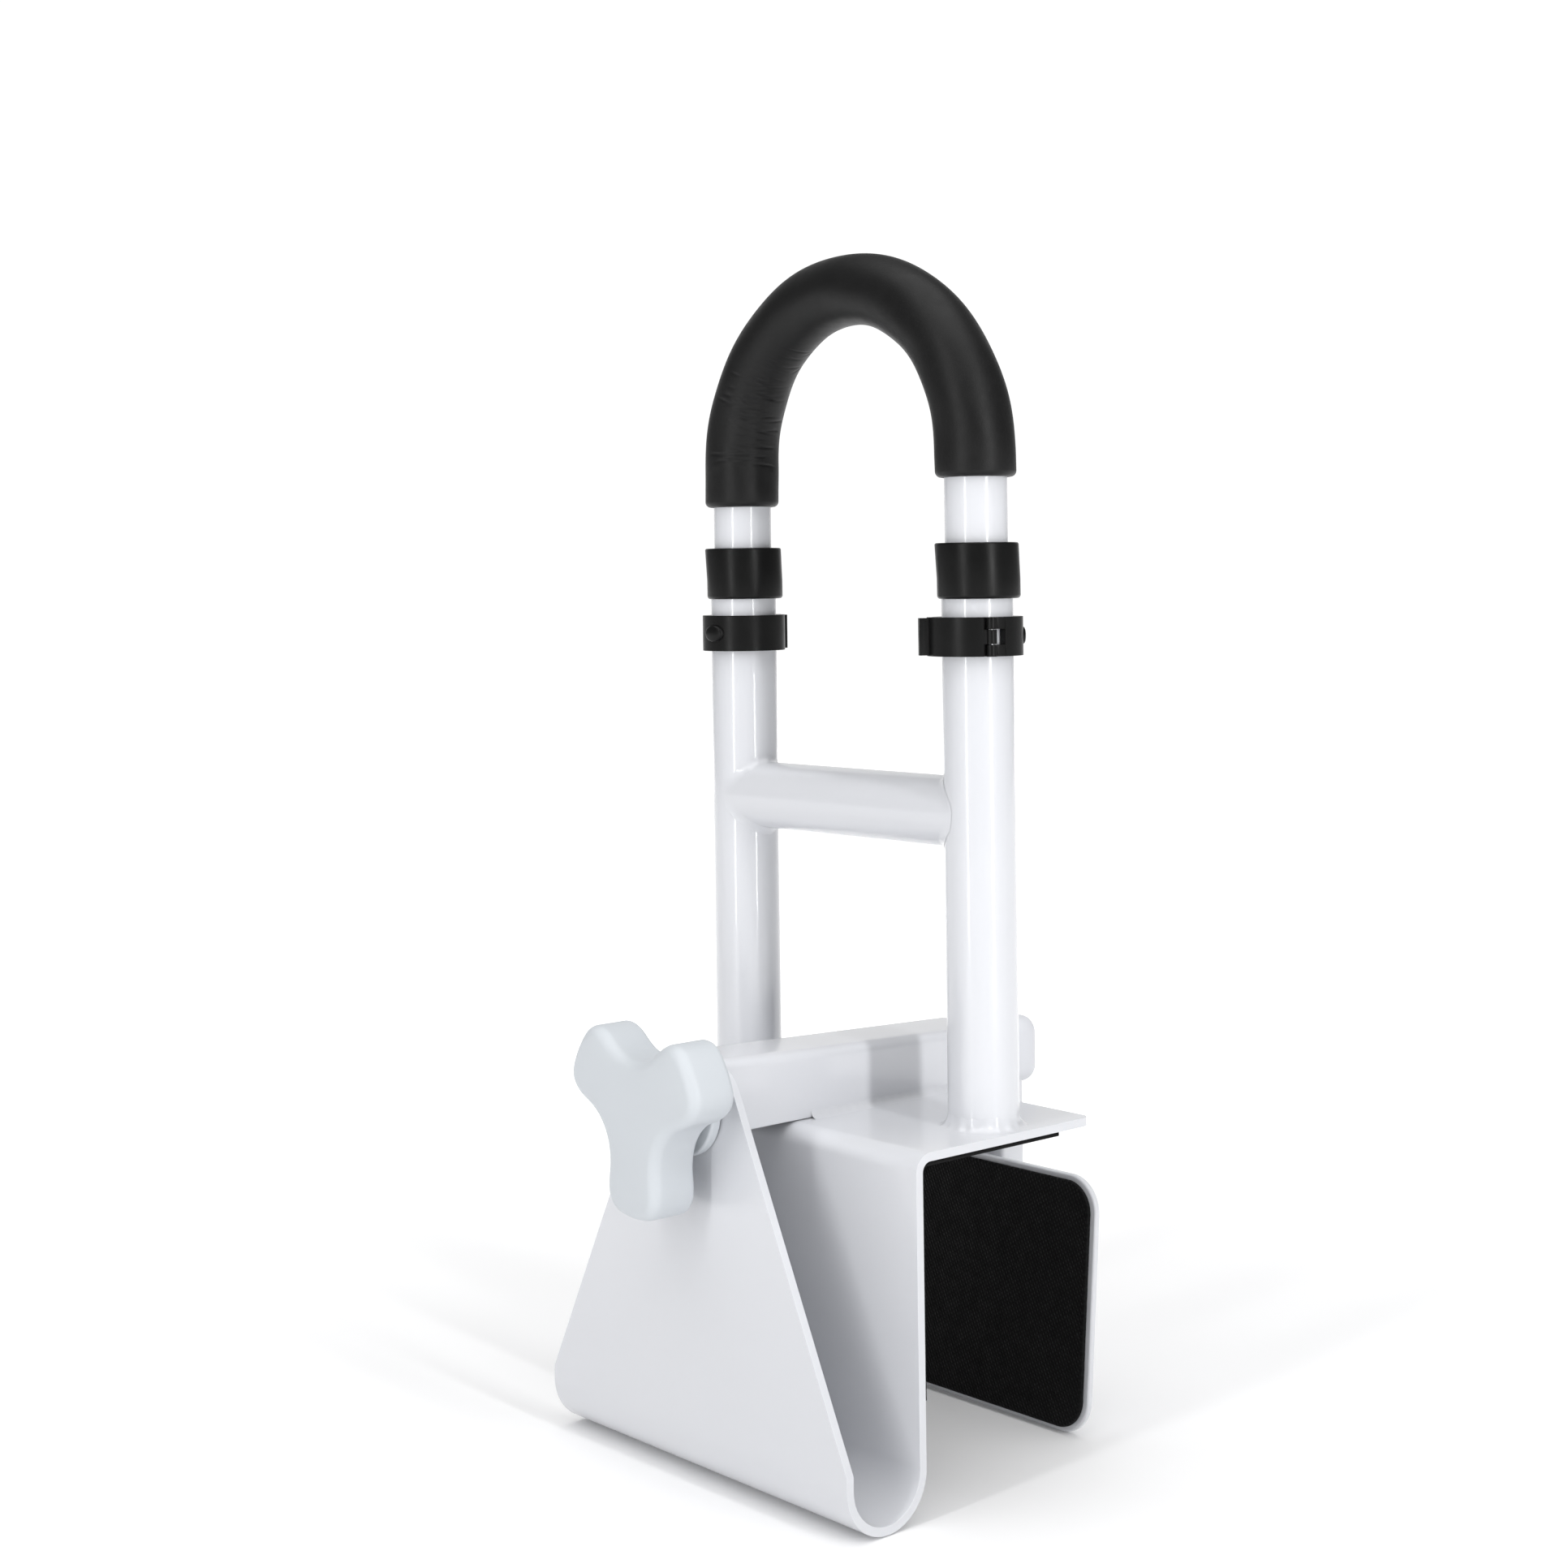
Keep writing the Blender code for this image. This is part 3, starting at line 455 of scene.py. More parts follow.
# ---------------------------------------------------------------- bracket
def fold_line(offset, ends, low=None):
    """The bent strip's line, offset into the steel from its tub side; it may stop at a height."""
    bend_steps, fold_steps = 16, 56
    line = []
    radius = BEND_R - SHEET + offset
    bend = (WALL_X - SHEET + BEND_R, PLATE_TOP - BEND_R)
    for x in ends:
        line.append((x, PLATE_TOP - SHEET + offset))
    for i in range(bend_steps + 1):
        angle = math.pi / 2 + i * math.pi / 2 / bend_steps
        line.append((bend[0] + radius * math.cos(angle), bend[1] + radius * math.sin(angle)))
    if low is not None:
        line.append((WALL_X - offset, low))
        return line
    fold = (WALL_X - FOLD_R, BRACKET[0].z + FOLD_R)
    radius = FOLD_R - offset
    for i in range(fold_steps + 1):
        angle = -(math.pi + LEAN) * i / fold_steps
        line.append((fold[0] + radius * math.cos(angle), fold[1] + radius * math.sin(angle)))
    foot = line[-1]
    for z in panel_heights():
        reach = (z - foot[1]) / math.cos(LEAN)
        line.append((foot[0] + math.sin(LEAN) * reach, z))
    return line


def panel_heights():
    """Heights of the outer panel's cross lines."""
    heights = [TAPER_START - 0.003, TAPER_START, TAPER_START + 0.004]
    for i in range(9):
        heights.append(PANEL_TOP - PANEL_CORNER_R * (1 - math.sin(math.pi / 2 * i / 8)))
    return heights


def half_width(x, z, on_panel):
    """Half width of the strip at a place on its line."""
    if not on_panel:
        past = x - (PLATE_END - PLATE_CORNER_R)
        if past > 0:
            return HALF_WIDTH - PLATE_CORNER_R + math.sqrt(max(PLATE_CORNER_R ** 2 - past ** 2, 0.0))
        return HALF_WIDTH
    if z <= TAPER_START:
        return HALF_WIDTH
    share = (z - TAPER_START) / (PANEL_TOP - TAPER_START)
    half = HALF_WIDTH + (TOP_HALF - HALF_WIDTH) * share
    past = z - (PANEL_TOP - PANEL_CORNER_R)
    if past > 0:
        half -= PANEL_CORNER_R - math.sqrt(max(PANEL_CORNER_R ** 2 - past ** 2, 0.0))
    return half


def build_bracket():
    """The bent steel strip with softly rounded edges."""
    ends = [PLATE_END - PLATE_CORNER_R + PLATE_CORNER_R * math.cos(math.pi / 2 * i / 6)
            for i in range(7)]
    inside = fold_line(0.0, ends)
    outside = fold_line(SHEET, ends)
    count = len(panel_heights())
    bm = bmesh.new()
    rows = []
    for index, (inner, outer) in enumerate(zip(inside, outside)):
        half = half_width(outer[0], outer[1], index >= len(inside) - count)
        corners = ((inner, -half), (inner, half), (outer, half), (outer, -half))
        rows.append([bm.verts.new((p[0], y, p[1])) for p, y in corners])
    skin(bm, rows)
    piece = make("bracket", bm, COAT, "frame")
    drill(piece, [bar_cutter(0.0065, (-0.105, 0, SCREW_Z), (-0.080, 0, SCREW_Z), 48)])
    round_edges(piece, 0.0010, 4, limit=55)
    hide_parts("bracket_sheet")


def build_rim_pad():
    """The rubber lining, a little proud of its neighbours."""
    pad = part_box("rim_pad")
    ends = [pad[1].x, pad[1].x - 0.0006]
    back = fold_line(-GAP, ends, pad[0].z)
    face = fold_line(-GAP - PAD, ends, pad[0].z)
    bm = bmesh.new()
    rows = []
    for rear, front in zip(back, face):
        corners = ((rear, pad[0].y), (rear, pad[1].y), (front, pad[1].y), (front, pad[0].y))
        rows.append([bm.verts.new((p[0], y, p[1])) for p, y in corners])
    skin(bm, rows)
    piece = make("rim_lining", bm, RUBBER, "frame", bevel=0.0004)
    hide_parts("rim_pad")


def build_housing():
    """The pressed channel over the screw."""
    lo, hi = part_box("screw_housing")
    half, corner = hi.y, 0.0045
    bm = bmesh.new()
    loops = []
    count = 12
    for i in range(count + 1):
        share = i / count
        x = lo.x + (hi.x - lo.x) * share
        top = hi.z + (HOUSING_TOP_JAW_END - hi.z) * share
        outer = [(half, lo.z)]
        outer += arc((half - corner, top - corner), corner, 0, math.pi / 2, 10)
        outer += arc((-half + corner, top - corner), corner, math.pi / 2, math.pi, 10)
        outer += [(-half, lo.z)]
        inner_r = corner - HOUSING_WALL
        inner = [(-half + HOUSING_WALL, lo.z)]
        inner += arc((-half + corner, top - corner), inner_r, math.pi, math.pi / 2, 10)
        inner += arc((half - corner, top - corner), inner_r, math.pi / 2, 0, 10)
        inner += [(half - HOUSING_WALL, lo.z)]
        loops.append([bm.verts.new((x, y, z)) for y, z in outer + inner])
    skin(bm, loops)
    piece = make("housing", bm, COAT, "frame", bevel=0.0005)
    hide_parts("screw_housing")


# ---------------------------------------------------------------- legs
def saddle(angle):
    """How far the crossbar's end lies from the leg's axis at an angle round the bar."""
    x = OUTER_R * math.cos(angle)
    return math.sqrt((OUTER_R + 0.0001) ** 2 - x ** 2)


def build_legs():
    """Outer tubes, crossbar, collars and the weld beads that join them."""
    for label, side in LEGS:
        y = side * LEG_Y
        bore = OUTER_R - TUBE_WALL
        lo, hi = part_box(f"outer_tube_{label}")
        wall = [(bore, lo.z), (OUTER_R, lo.z), (OUTER_R, hi.z), (bore, hi.z)]
        wall = fillet(wall, {2: 0.0004, 3: 0.0003})
        tube = make(f"leg_{label}", lathe(wall, (0, y, 0)), COAT, "frame",
                    smooth_angle=50)
        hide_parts(f"outer_tube_{label}")
        foot = []
        for i in range(180):
            angle = 2 * math.pi * i / 180
            out = Vector((math.cos(angle), math.sin(angle), 0))
            corner = Vector((0, y, PLATE_TOP)) + out * OUTER_R
            foot.append((corner + Vector((0, 0, 0.0052)), corner, corner + out * 0.0032))
        weld(f"foot_weld_{label}", foot, "frame", ripple=0.16)
        build_collar(label, y)
    bm = bmesh.new()
    loops = []
    for share in (-1.0, -0.96, -0.6, 0.0, 0.6, 0.96, 1.0):
        loop = []
        for i in range(ROUND):
            angle = 2 * math.pi * i / ROUND
            y = share * (LEG_Y - saddle(angle))
            loop.append(bm.verts.new((OUTER_R * math.cos(angle), y, BAR_Z + OUTER_R * math.sin(angle))))
        loops.append(loop)
    skin(bm, loops, caps=False)
    bar = make("cross_tube", bm, COAT, "frame")
    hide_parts("crossbar")
    for label, side in LEGS:
        seam = []
        for i in range(180):
            angle = 2 * math.pi * i / 180
            x, rise = OUTER_R * math.cos(angle), OUTER_R * math.sin(angle)
            depth = saddle(angle)
            corner = Vector((x, side * (LEG_Y - depth), BAR_Z + rise))
            along_bar = corner - Vector((0, side * 0.0032, 0))
            climb = 0.0032 * math.copysign(1, rise) if abs(rise) > 0.002 else 1.6 * rise
            on_leg = corner + Vector((0, 0, climb))
            seam.append((along_bar, corner, on_leg))
        weld(f"bar_weld_{label}", seam, "frame")


def build_collar(label, y):
    """Guide collar on top of a leg, a little fuller low down on one side."""
    lo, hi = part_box(f"collar_{label}")
    radius = (hi.y - lo.y) / 2
    step = OUTER_TOP + GAP
    outline = [(OUTER_R + GAP, lo.z), (radius, lo.z), (radius, lo.z + 0.008), (radius, hi.z),
               (INNER_R + GAP, hi.z), (INNER_R + GAP, step), (OUTER_R + GAP, step)]
    outline = fillet(outline, {1: 0.0013, 3: 0.0008, 4: 0.0005})
    lean = math.radians(-41)

    def fuller(r, z, angle):
        if r < radius - 0.002:
            return r
        depth = 1 - (z - lo.z) / (hi.z - lo.z)
        swell = 0.0007 * math.sin(min(1.0, depth * 1.25) * math.pi / 2)
        return r + swell * (math.cos(angle - lean) - 0.2)

    piece = make(f"guide_{label}", lathe(outline, (0, y, 0), shape=fuller), BLACK, "frame",
                 smooth_angle=40)
    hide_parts(f"collar_{label}")


# ---------------------------------------------------------------- handle
def arch(low_near, low_far, steps):
    """Centre line of the handle from end to end, as (y, z, outward y, outward z)."""
    path = []
    for i in range(5):
        path.append((-LEG_Y, low_near + (ARCH_Z - low_near) * i / 5, -1.0, 0.0))
    for i in range(steps + 1):
        angle = math.pi - math.pi * i / steps
        out_y, out_z = math.cos(angle), math.sin(angle)
        path.append((LEG_Y * out_y, ARCH_Z + LEG_Y * out_z, out_y, out_z))
    for i in range(1, 6):
        path.append((LEG_Y, ARCH_Z + (low_far - ARCH_Z) * i / 5, 1.0, 0.0))
    return path


def build_handle_tube():
    """The sliding inner tube with its row of lock holes."""
    bm = bmesh.new()
    path = arch(INNER_LOW, INNER_LOW, 48)
    skins = []
    for radius in (INNER_R, INNER_R - TUBE_WALL):
        loops = []
        for y, z, out_y, out_z in path:
            loop = []
            for i in range(64):
                angle = 2 * math.pi * i / 64
                out = radius * math.cos(angle)
                place = (radius * math.sin(angle), y + out * out_y, z + out * out_z)
                loop.append(bm.verts.new(place))
            loops.append(loop)
        skin(bm, loops, caps=False)
        skins.append(loops)
    for end in (0, -1):
        skin(bm, [skins[0][end], skins[1][end]], caps=False)
    piece = make("grip_tube", bm, COAT, "handle", smooth_angle=50)
    cutters = []
    for label, side in LEGS:
        lo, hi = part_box(f"lock_pin_{label}")
        pin = (lo + hi) / 2
        axis = Vector((0, side * LEG_Y, pin.z))
        way = (pin - axis).normalized()
        for step in range(5):
            drop = Vector((0, 0, -HOLE_STEP * step))
            cutters.append(bar_cutter(HOLE_R, axis + drop + way * 0.002, axis + drop + way * 0.016))
    drill(piece, cutters)
    piece.data.set_sharp_from_angle(angle=math.radians(50))
    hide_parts("handle_tube")


def build_foam():
    """The foam sleeve: soft round ends, thinner over the bend, creased on the far lower arc."""
    path = arch(foam_end(-1), foam_end(1), 420)
    crease_width, crease_reach = 0.00050, 0.004
    creases = []
    for _ in range(84):
        place = random.uniform(0.014, 0.090) * random.uniform(0.7, 1.0)
        turn = math.radians(random.gauss(216, 22) - 420 * max(0.0, place - 0.035))
        creases.append((place, turn, random.uniform(0.10, 0.42), random.uniform(0.25, 1.0),
                        random.uniform(-0.0040, 0.0040), random.uniform(0, 6.28)))

    def crease_depth(run, angle):
        """Depth of all creases together at a distance from the far end and an angle round it."""
        depth = 0.0
        for place, turn, spread_by, strength, lean, phase in creases:
            off = math.remainder(angle - turn, 2 * math.pi)
            if abs(off) > 1.6:
                continue
            along = run - place - lean * off - 0.00045 * math.sin(4 * off + phase)
            if abs(along) < crease_reach:
                depth += (strength * math.exp(-(off / spread_by) ** 2)
                          * math.exp(-(along / crease_width) ** 2))
        return 0.00040 * min(depth, 1.4)

    lengths = [0.0]
    for a, b in zip(path, path[1:]):
        lengths.append(lengths[-1] + math.hypot(b[0] - a[0], b[1] - a[1]))
    total = lengths[-1]
    bm = bmesh.new()
    bore = INNER_R + 0.0002
    loops = []

    def ring(point, radius, run):
        """One loop of the sleeve, with a slight waviness on its outside."""
        y, z, out_y, out_z = point
        loop = []
        for i in range(ROUND):
            angle = 2 * math.pi * i / ROUND
            r = radius
            if radius > bore + 0.001:
                r += (0.00012 * math.sin(run * 190 + 3 * angle)
                      + 0.0001 * math.sin(run * 83 - 2 * angle + 1.0))
                r -= crease_depth(total - run, angle) if total - run > 0.006 else 0.0
            out = r * math.cos(angle)
            loop.append(bm.verts.new((r * math.sin(angle), y + out * out_y, z + out * out_z)))
        return loop

    def radius_at(out_z):
        """Radius of the sleeve, smallest at the top of the bend."""
        return FOAM_R + (FOAM_APEX_R - FOAM_R) * max(0.0, out_z)

    round_r = 0.0024
    first, last = path[0], path[-1]
    for k in range(6):
        angle = math.pi / 2 * (1 - k / 5)
        radius = radius_at(0) - round_r + round_r * math.cos(angle)
        lift = round_r - round_r * math.sin(angle)
        point = (first[0], first[1] + lift, first[2], first[3])
        loops.append(ring(point, radius, lift))
    for point, run in zip(path, lengths):
        if run > round_r * 1.5 and total - run > round_r * 1.5:
            loops.append(ring(point, radius_at(point[3]), run))
    for k in range(6):
        angle = math.pi / 2 * k / 5
        radius = radius_at(0) - round_r + round_r * math.cos(angle)
        lift = round_r - round_r * math.sin(angle)
        point = (last[0], last[1] + lift, last[2], last[3])
        loops.append(ring(point, radius, total - lift))
    loops.append(ring((last[0], last[1] + 0.0004, last[2], last[3]), bore + 0.0006, total))
    loops.append(ring(last, bore, total))
    for point, run in list(zip(path, lengths))[-6:4:-12]:
        loops.append(ring(point, bore, run))
    loops.append(ring(first, bore, 0.0))
    loops.append(ring((first[0], first[1] + 0.0004, first[2], first[3]), bore + 0.0006, 0.0))
    skin(bm, loops, closed=True)
    piece = make("foam_sleeve", bm, FOAM, "handle", smooth_angle=60)
    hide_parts("foam_grip")


def foam_end(side):
    """Height at which the foam ends on one leg."""
    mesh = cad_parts["foam_grip"].data
    return min(v.co.z for v in mesh.vertices if v.co.y * side > 0)


# ---------------------------------------------------------------- clips
def build_clips():
    """Lock clips: rounded copies of the CAD pieces, each with a boss over its pin."""
    for label, side in LEGS:
        softened(f"clip_band_{label}", f"band_{label}", BLACK, "frame", 0.00025)
        softened(f"clip_gate_{label}", f"gate_{label}", BLACK, f"{label}_gate", 0.00025)
        lo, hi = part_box(f"lock_pin_{label}")
        pin = (lo + hi) / 2
        axis = Vector((0, side * LEG_Y, pin.z))
        way = (pin - axis).normalized()
        across = Vector((-way.y, way.x, 0))
        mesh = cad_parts[f"lock_pin_{label}"].data
        reach = max((Vector((v.co.x, v.co.y, pin.z)) - axis).dot(way) for v in mesh.vertices)
        proud = reach - CLIP_R + (0.0009 if label == "far" else 0.0003)
        bm = bmesh.new()
        loops = []
        for height, size in ((-0.0010, 1.0), (0.4 * proud, 1.0), (0.8 * proud, 0.93), (proud, 0.80)):
            loop = []
            for i in range(40):
                angle = 2 * math.pi * i / 40
                a = 0.0052 * size * math.cos(angle)
                b = 0.0036 * size * math.sin(angle)
                bend = a * a / (2 * CLIP_R)
                base = axis + way * (CLIP_R + height - bend) + across * a + Vector((0, 0, b))
                loop.append(bm.verts.new(base))
            loops.append(loop)
        skin(bm, loops)
        make(f"pin_boss_{label}", bm, BLACK, "frame", smooth_angle=50)
        build_hinge_web(label, side)


def build_hinge_web(label, side):
    """Thin web of the lock clip's band that reaches under the hinge knuckles."""
    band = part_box(f"clip_band_{label}")
    lo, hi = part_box(f"clip_hinge_pin_{label}")
    hinge = math.atan2((lo.y + hi.y) / 2 - side * LEG_Y, (lo.x + hi.x) / 2)
    bm = bmesh.new()
    loops = []
    for i in range(9):
        angle = hinge + math.radians(-11 + 8.5 * i / 8)
        loop = []
        for radius, z in ((OUTER_R + 0.0003, band[0].z), (OUTER_R + 0.0014, band[0].z),
                          (OUTER_R + 0.0014, band[1].z), (OUTER_R + 0.0003, band[1].z)):
            spot = (radius * math.cos(angle), side * LEG_Y + radius * math.sin(angle), z)
            loop.append(bm.verts.new(spot))
        loops.append(loop)
    skin(bm, loops)
    make(f"hinge_web_{label}", bm, BLACK, "frame")


# ---------------------------------------------------------------- knob and screw
def knob_outline():
    """Three lobes with hollow waists, as in the CAD but finer."""
    outline = []
    end_r, waist_r, waist_reach = 0.0095, 0.0215, 0.0420
    flat = KNOB_LOBE_HALF - end_r
    for lobe in range(3):
        direction = math.radians(KNOB_TURN - 90 + 120 * lobe)
        along = Vector((math.cos(direction), math.sin(direction)))
        across = Vector((-along.y, along.x))
        for sign in (-1, 1):
            middle = along * (KNOB_REACH - end_r) + across * sign * flat
            first = direction + (-math.pi / 2 if sign < 0 else 0.0)
            outline += arc(middle, end_r, first, first + math.pi / 2, 9)
            if sign < 0:
                for k in range(1, 4):
                    shift = -flat + 2 * flat * k / 4
                    swell = 0.0007 * (1 - (shift / flat) ** 2)
                    outline.append(tuple(along * (KNOB_REACH + swell) + across * shift))
        between = direction + math.radians(60)
        middle = Vector((math.cos(between), math.sin(between))) * waist_reach
        inward = between + math.pi
        open_angle = math.radians(52)
        outline += arc(middle, waist_r, inward + open_angle, inward - open_angle, 18)
    return outline


def inset(outline, distance):
    """Move a closed outline inwards by a distance."""
    result = []
    count = len(outline)
    for i in range(count):
        before = Vector(outline[i - 1])
        after = Vector(outline[(i + 1) % count])
        along = (after - before).normalized()
        result.append(tuple(Vector(outline[i]) + Vector((-along.y, along.x)) * distance))
    return result


def relax(outline, rounds):
    """Smooth a closed outline a little."""
    for _ in range(rounds):
        count = len(outline)
        smooth = []
        for i in range(count):
            a, b, c = outline[i - 1], outline[i], outline[(i + 1) % count]
            smooth.append(((a[0] + 2 * b[0] + c[0]) / 4, (a[1] + 2 * b[1] + c[1]) / 4))
        outline = smooth
    return outline


def build_knob():
    """The three-lobed hand knob with rounded edges and a nearly flat front, and its flange."""
    knob_lo, knob_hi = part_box("knob")
    front = knob_lo.x
    outline = relax(knob_outline(), 4)
    edge, back_edge = 0.0048, 0.0040
    hub_r, bore_r = 0.0140, 0.0066
    stations = [(front, edge + 0.0026), (front + 0.00008, edge + 0.0012)]
    for k in range(11):
        angle = math.pi / 2 * k / 10
        stations.append((front + 0.0002 + edge * (1 - math.cos(angle)), edge * (1 - math.sin(angle))))
    stations += [(-0.113, 0.0), (KNOB_BACK_X - back_edge, 0.0)]
    for k in range(1, 9):
        angle = math.pi / 2 * k / 8
        stations.append((KNOB_BACK_X - back_edge * (1 - math.sin(angle)),
                         back_edge * (1 - math.cos(angle))))
    bm = bmesh.new()
    loops = []
    for x, distance in stations:
        loops.append([bm.verts.new((x, y, SCREW_Z + z)) for y, z in inset(outline, distance)])
    skin(bm, loops)
    knob = make("hand_knob", bm, KNOB, "screw", smooth_angle=60)
    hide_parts("knob")
    hub = fillet([(bore_r, KNOB_BACK_X - 0.002), (hub_r, KNOB_BACK_X - 0.002), (hub_r, knob_hi.x),
                  (bore_r, knob_hi.x)], {2: 0.0006})
    make("knob_hub", lathe(hub, (0, 0, SCREW_Z), "X"), KNOB, "screw")
    lo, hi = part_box("thrust_washer")
    flange_r, bore_r = hi.z - SCREW_Z, 0.0064
    ring = fillet([(bore_r, lo.x), (flange_r, lo.x), (flange_r, hi.x), (bore_r, hi.x)],
                  {1: 0.0012, 2: 0.0006})
    washer = make("flange", lathe(ring, (0, 0, SCREW_Z), "X"), KNOB, "screw")
    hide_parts("thrust_washer")


def build_screw():
    """The clamp screw with a real trapezoidal thread."""
    lo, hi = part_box("clamp_screw")
    root, lead = 0.0044, 0.003
    start, end = -0.078, hi.x
    turns = int((end - start) / lead)
    sides = 32
    bm = bmesh.new()
    profile = ((0.0, root), (0.18, root), (0.38, SCREW_R), (0.62, SCREW_R), (0.82, root))
    rows = []
    for k in range(turns * sides + 1):
        angle = 2 * math.pi * k / sides
        base = start + lead * k / sides
        row = []
        for share, r in profile:
            x = min(base + share * lead, end)
            row.append(bm.verts.new((x, r * math.cos(angle), SCREW_Z + r * math.sin(angle))))
        rows.append(row)
    for low, high in zip(rows, rows[1:]):
        for i in range(len(profile) - 1):
            bm.faces.new((low[i], low[i + 1], high[i + 1], high[i]))
    make("screw_thread", bm, ZINC, "screw", smooth_angle=40)
    core = [(0.0001, lo.x), (SCREW_R, lo.x), (SCREW_R, start), (root + 0.0001, start + 0.001),
            (root + 0.0001, end - 0.001), (root - 0.0008, end), (0.0001, end)]
    shaft = make("screw_shaft", lathe(core, (0, 0, SCREW_Z), "X", 48), ZINC, "screw")
    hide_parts("clamp_screw")


# ---------------------------------------------------------------- jaw
def build_jaw():
    """Jaw plate and pad with round corners, and the arm, post and cap that carry them."""
    lo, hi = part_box("jaw_plate")
    height = (hi.z - lo.z - JAW_SHEET * math.sin(JAW_TOE_IN)) / math.cos(JAW_TOE_IN)
    tilt = Matrix.Translation(JAW_TOP) @ Matrix.Rotation(JAW_TOE_IN, 4, "Y")
    outline = rounded_rectangle(hi.y, height / 2, JAW_CORNER_R, 14, (0, -height / 2))
    bm = prism(outline, ((0.0, 1), (JAW_SHEET, 1)))
    bm.transform(tilt)
    plate = make("jaw", bm, COAT, "jaw", bevel=0.0010, segments=4)
    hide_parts("jaw_plate")
    pad_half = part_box("jaw_pad")[1].y
    inset_by = hi.y - pad_half
    outline = rounded_rectangle(pad_half, height / 2 - inset_by, JAW_CORNER_R - inset_by, 14,
                                (0, -height / 2))
    bm = prism(outline, ((-GAP - JAW_PAD, 1), (-GAP + 0.0002, 1)))
    bm.transform(tilt)
    pad = make("jaw_lining", bm, RUBBER, "jaw", bevel=0.0010, segments=4)
    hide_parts("jaw_pad")
    softened("jaw_wedge", "wedge", COAT, "jaw", 0.0008)
    softened("jaw_post", "post", COAT, "jaw", 0.0006)
    softened("slide_arm", "arm", COAT, "jaw", 0.0005)
    softened("post_plug", "post_foot", WHITE, "jaw", 0.0008)
    build_cap()


def build_cap():
    """The soft-cornered end cap that sleeves over the slide arm."""
    lo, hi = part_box("arm_end_cap")
    half = hi.y
    middle = (0.0, (lo.z + hi.z) / 2)
    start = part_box("jaw_post")[1].x - CAP_SKIRT
    corner_r, draw_in = 0.0068, 0.72
    outline = rounded_rectangle(half, half, corner_r, 10, middle)
    stations = [(start, 0.95), (start + 0.0003, 0.98), (start + 0.0008, 1.0)]
    for k in range(11):
        angle = math.pi / 2 * k / 10
        reach = hi.x - corner_r + corner_r * math.sin(angle)
        stations.append((reach, 1.0 - corner_r / half * draw_in * (1 - math.cos(angle))))
    piece = make("end_cap", prism(outline, stations, middle), WHITE, "jaw",
                 smooth_angle=60)
    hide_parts("arm_end_cap")


def build_seams():
    """Weld beads along the housing and under the slide arm."""
    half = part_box("screw_housing")[1].y
    bead = 0.0030
    for label, side in LEGS:
        line = []
        for millimetre in range(-42, 41):
            corner = Vector((millimetre / 1000, side * half, PLATE_TOP))
            line.append((corner + Vector((0, 0, bead)), corner, corner + Vector((0, side * bead, 0))))
        weld(f"housing_weld_{label}", line, "frame", closed=False, ripple=0.12)
    lo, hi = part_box("jaw_post")
    middle = Vector(((lo.x + hi.x) / 2, 0, hi.z))
    ring = []
    for a, b in rounded_rectangle((hi.x - lo.x) / 2, hi.y, 0.002, 10):
        out = Vector((a, b, 0)).normalized()
        corner = middle + Vector((a, b, 0))
        on_post = corner - Vector((0, 0, 0.0022))
        ring.append((on_post, corner, corner + out * 0.0004 + Vector((0, 0, 0.0010))))
    weld("post_weld", ring, "jaw", ripple=0.08)


def build_plain_nodes():
    """CAD nodes that keep their shape get their finish."""
    looks = {"housing_glide_near": NYLON, "housing_glide_far": NYLON, "glide_plug_near": BLACK,
             "glide_plug_far": BLACK, "clip_hinge_pin_near": ZINC, "clip_hinge_pin_far": ZINC,
             "lock_pin_near": ZINC, "lock_pin_far": ZINC, "screw_retainer": ZINC, "arm_nut": ZINC}
    for node, look in looks.items():
        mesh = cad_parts[node].data
        mesh.materials.clear()
        mesh.materials.append(look)


# ---------------------------------------------------------------- stage, light and camera
def build_stage():
    """A white floor under and behind the rail, with painted glow that grows stronger away from the
    rail.
    """
    floor_z = cad_box[0][2] - 0.0002
    side = 6.0
    bm = bmesh.new()
    corners = ((-side, -side), (side, -side), (side, side), (-side, side))
    bm.faces.new([bm.verts.new((x, y, floor_z)) for x, y in corners])
    mesh = mesh_from("floor", bm)
    material, nodes, links, shader = new_material("floor_white", (0.90, 0.90, 0.905), 0.8)
    shader.inputs["Specular IOR Level"].default_value = 0.1
    shader.inputs["Emission Color"].default_value = (1.0, 1.0, 1.0, 1.0)
    place = nodes.new("ShaderNodeTexCoord")
    away = nodes.new("ShaderNodeVectorMath")
    away.operation = "LENGTH"
    links.new(place.outputs["Object"], away.inputs[0])
    # painted glow: the floor emits light of its own, weakly near the rail and more strongly further out
    glow = nodes.new("ShaderNodeMapRange")
    glow.interpolation_type = "SMOOTHSTEP"
    glow.inputs["From Min"].default_value = 0.25
    glow.inputs["From Max"].default_value = 0.9
    glow.inputs["To Min"].default_value = 0.05
    glow.inputs["To Max"].default_value = 0.42
    links.new(away.outputs["Value"], glow.inputs["Value"])
    links.new(glow.outputs["Result"], shader.inputs["Emission Strength"])
    bump(nodes, links, shader, noise(nodes, links, 80.0), 0.02, 0.001)
    mesh.materials.append(material)
    link(bpy.data.objects.new("floor", mesh))


def add_area(name, turn, distance, height, target, size, power):
    """A rectangular soft light at a turn in degrees round the rail, aimed at a point."""
    lamp = bpy.data.lights.new(name, "AREA")
    lamp.shape = "RECTANGLE"
    lamp.size, lamp.size_y = size
    lamp.energy = power
    angle = math.radians(turn)
    place = Vector((distance * math.cos(angle), distance * math.sin(angle), height))
    light = link(bpy.data.objects.new(name, lamp))
    light.location = place
    light.rotation_euler = (Vector(target) - place).to_track_quat("-Z", "Y").to_euler()


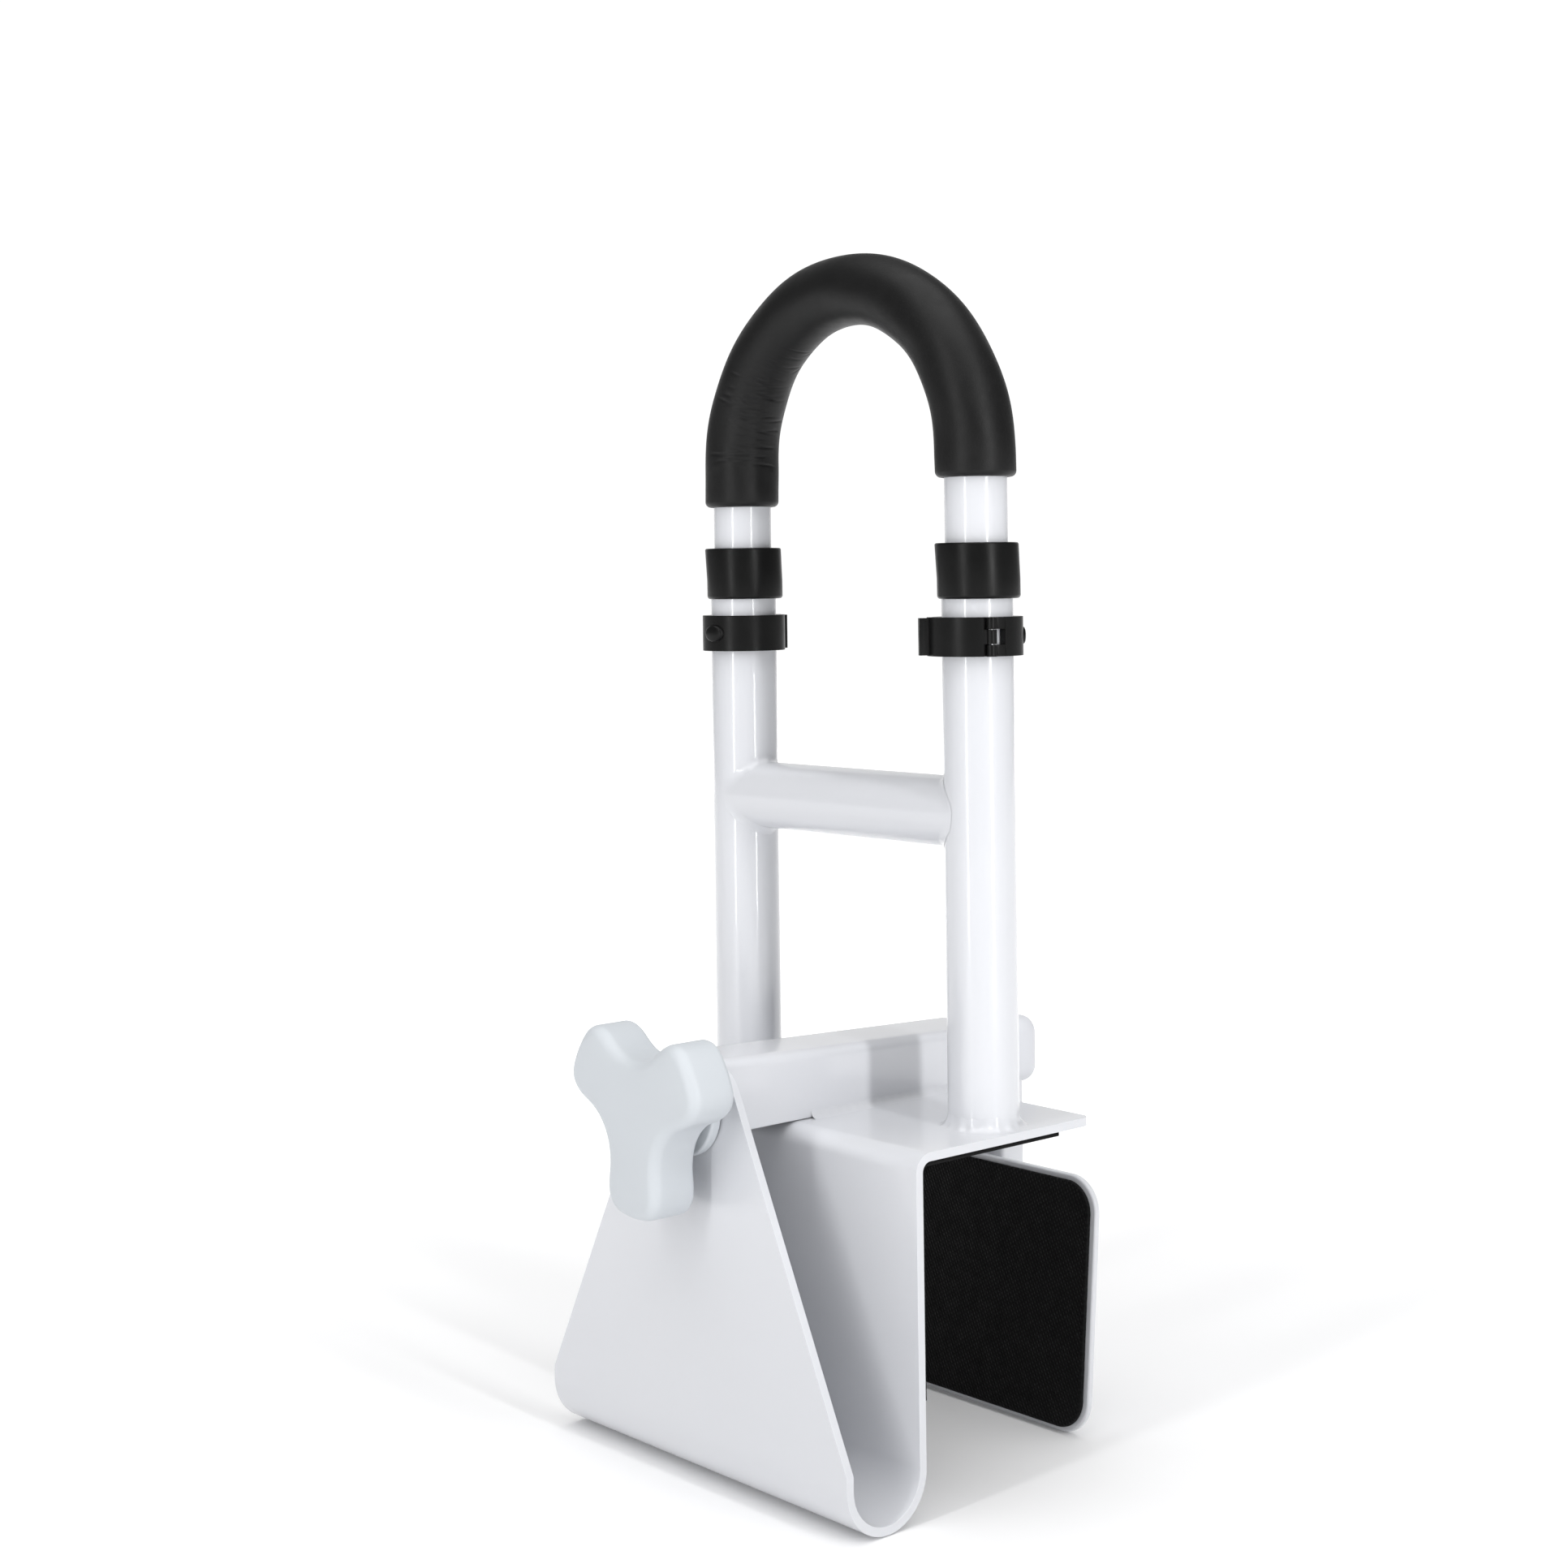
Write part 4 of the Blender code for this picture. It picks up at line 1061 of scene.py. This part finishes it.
def build_light():
    """Even white studio light, with two tall strips that draw lines down the tubes."""
    world = bpy.data.worlds.new("studio")
    world.use_nodes = True
    nodes, links = world.node_tree.nodes, world.node_tree.links
    soft = nodes["Background"]
    soft.inputs["Color"].default_value = (1.0, 1.0, 1.0, 1.0)
    soft.inputs["Strength"].default_value = 0.22
    white = nodes.new("ShaderNodeBackground")
    white.inputs["Color"].default_value = (1.0, 1.0, 1.0, 1.0)
    white.inputs["Strength"].default_value = 1.05
    seen = nodes.new("ShaderNodeLightPath")
    choose = nodes.new("ShaderNodeMixShader")
    links.new(seen.outputs["Is Camera Ray"], choose.inputs["Fac"])
    links.new(soft.outputs["Background"], choose.inputs[1])
    links.new(white.outputs["Background"], choose.inputs[2])
    links.new(choose.outputs["Shader"], nodes["World Output"].inputs["Surface"])
    bpy.context.scene.world = world
    add_area("strip_left", 187, 1.9, 0.95, (0, 0, 0.95), (0.13, 2.1), 13.8)
    add_area("strip_right", 265, 1.9, 0.95, (0, 0, 0.95), (0.13, 2.1), 20.0)
    add_area("backdrop_glow", 49, 2.4, 0.75, (0, 0, 0.1), (3.4, 1.7), 11.0)
    sun = bpy.data.lights.new("overhead", "SUN")
    sun.energy = 2.0
    sun.angle = math.radians(70)
    lamp = link(bpy.data.objects.new("overhead", sun))
    lamp.rotation_euler = (math.radians(8), math.radians(-8), 0)


def build_camera():
    """Camera at eye level with the clips, looking level across the rim."""
    lens = bpy.data.cameras.new("camera")
    lens.sensor_width = 36.0
    lens.lens = 57.71
    lens.shift_y = -0.1357
    lens.clip_start = 0.05
    lens.clip_end = 50.0
    camera = link(bpy.data.objects.new("camera", lens))
    yaw, pitch, roll = math.radians(49.15), math.radians(0.02), math.radians(-0.75)
    ahead = Vector((math.cos(yaw) * math.cos(pitch), math.sin(yaw) * math.cos(pitch), math.sin(pitch)))
    right = Vector((math.sin(yaw), -math.cos(yaw), 0.0))
    up = right.cross(ahead)
    right, up = (math.cos(roll) * right + math.sin(roll) * up,
                 -math.sin(roll) * right + math.cos(roll) * up)
    place = Matrix((right, up, -ahead)).transposed().to_4x4()
    place.translation = (-0.71463, -0.78145, 0.22714)
    camera.matrix_world = place
    bpy.context.scene.camera = camera
    bpy.context.scene.view_settings.view_transform = "Standard"


build_camera()
build_bracket()
build_rim_pad()
build_housing()
build_legs()
build_handle_tube()
build_foam()
build_clips()
build_knob()
build_screw()
build_jaw()
build_seams()
build_plain_nodes()
build_stage()
build_light()
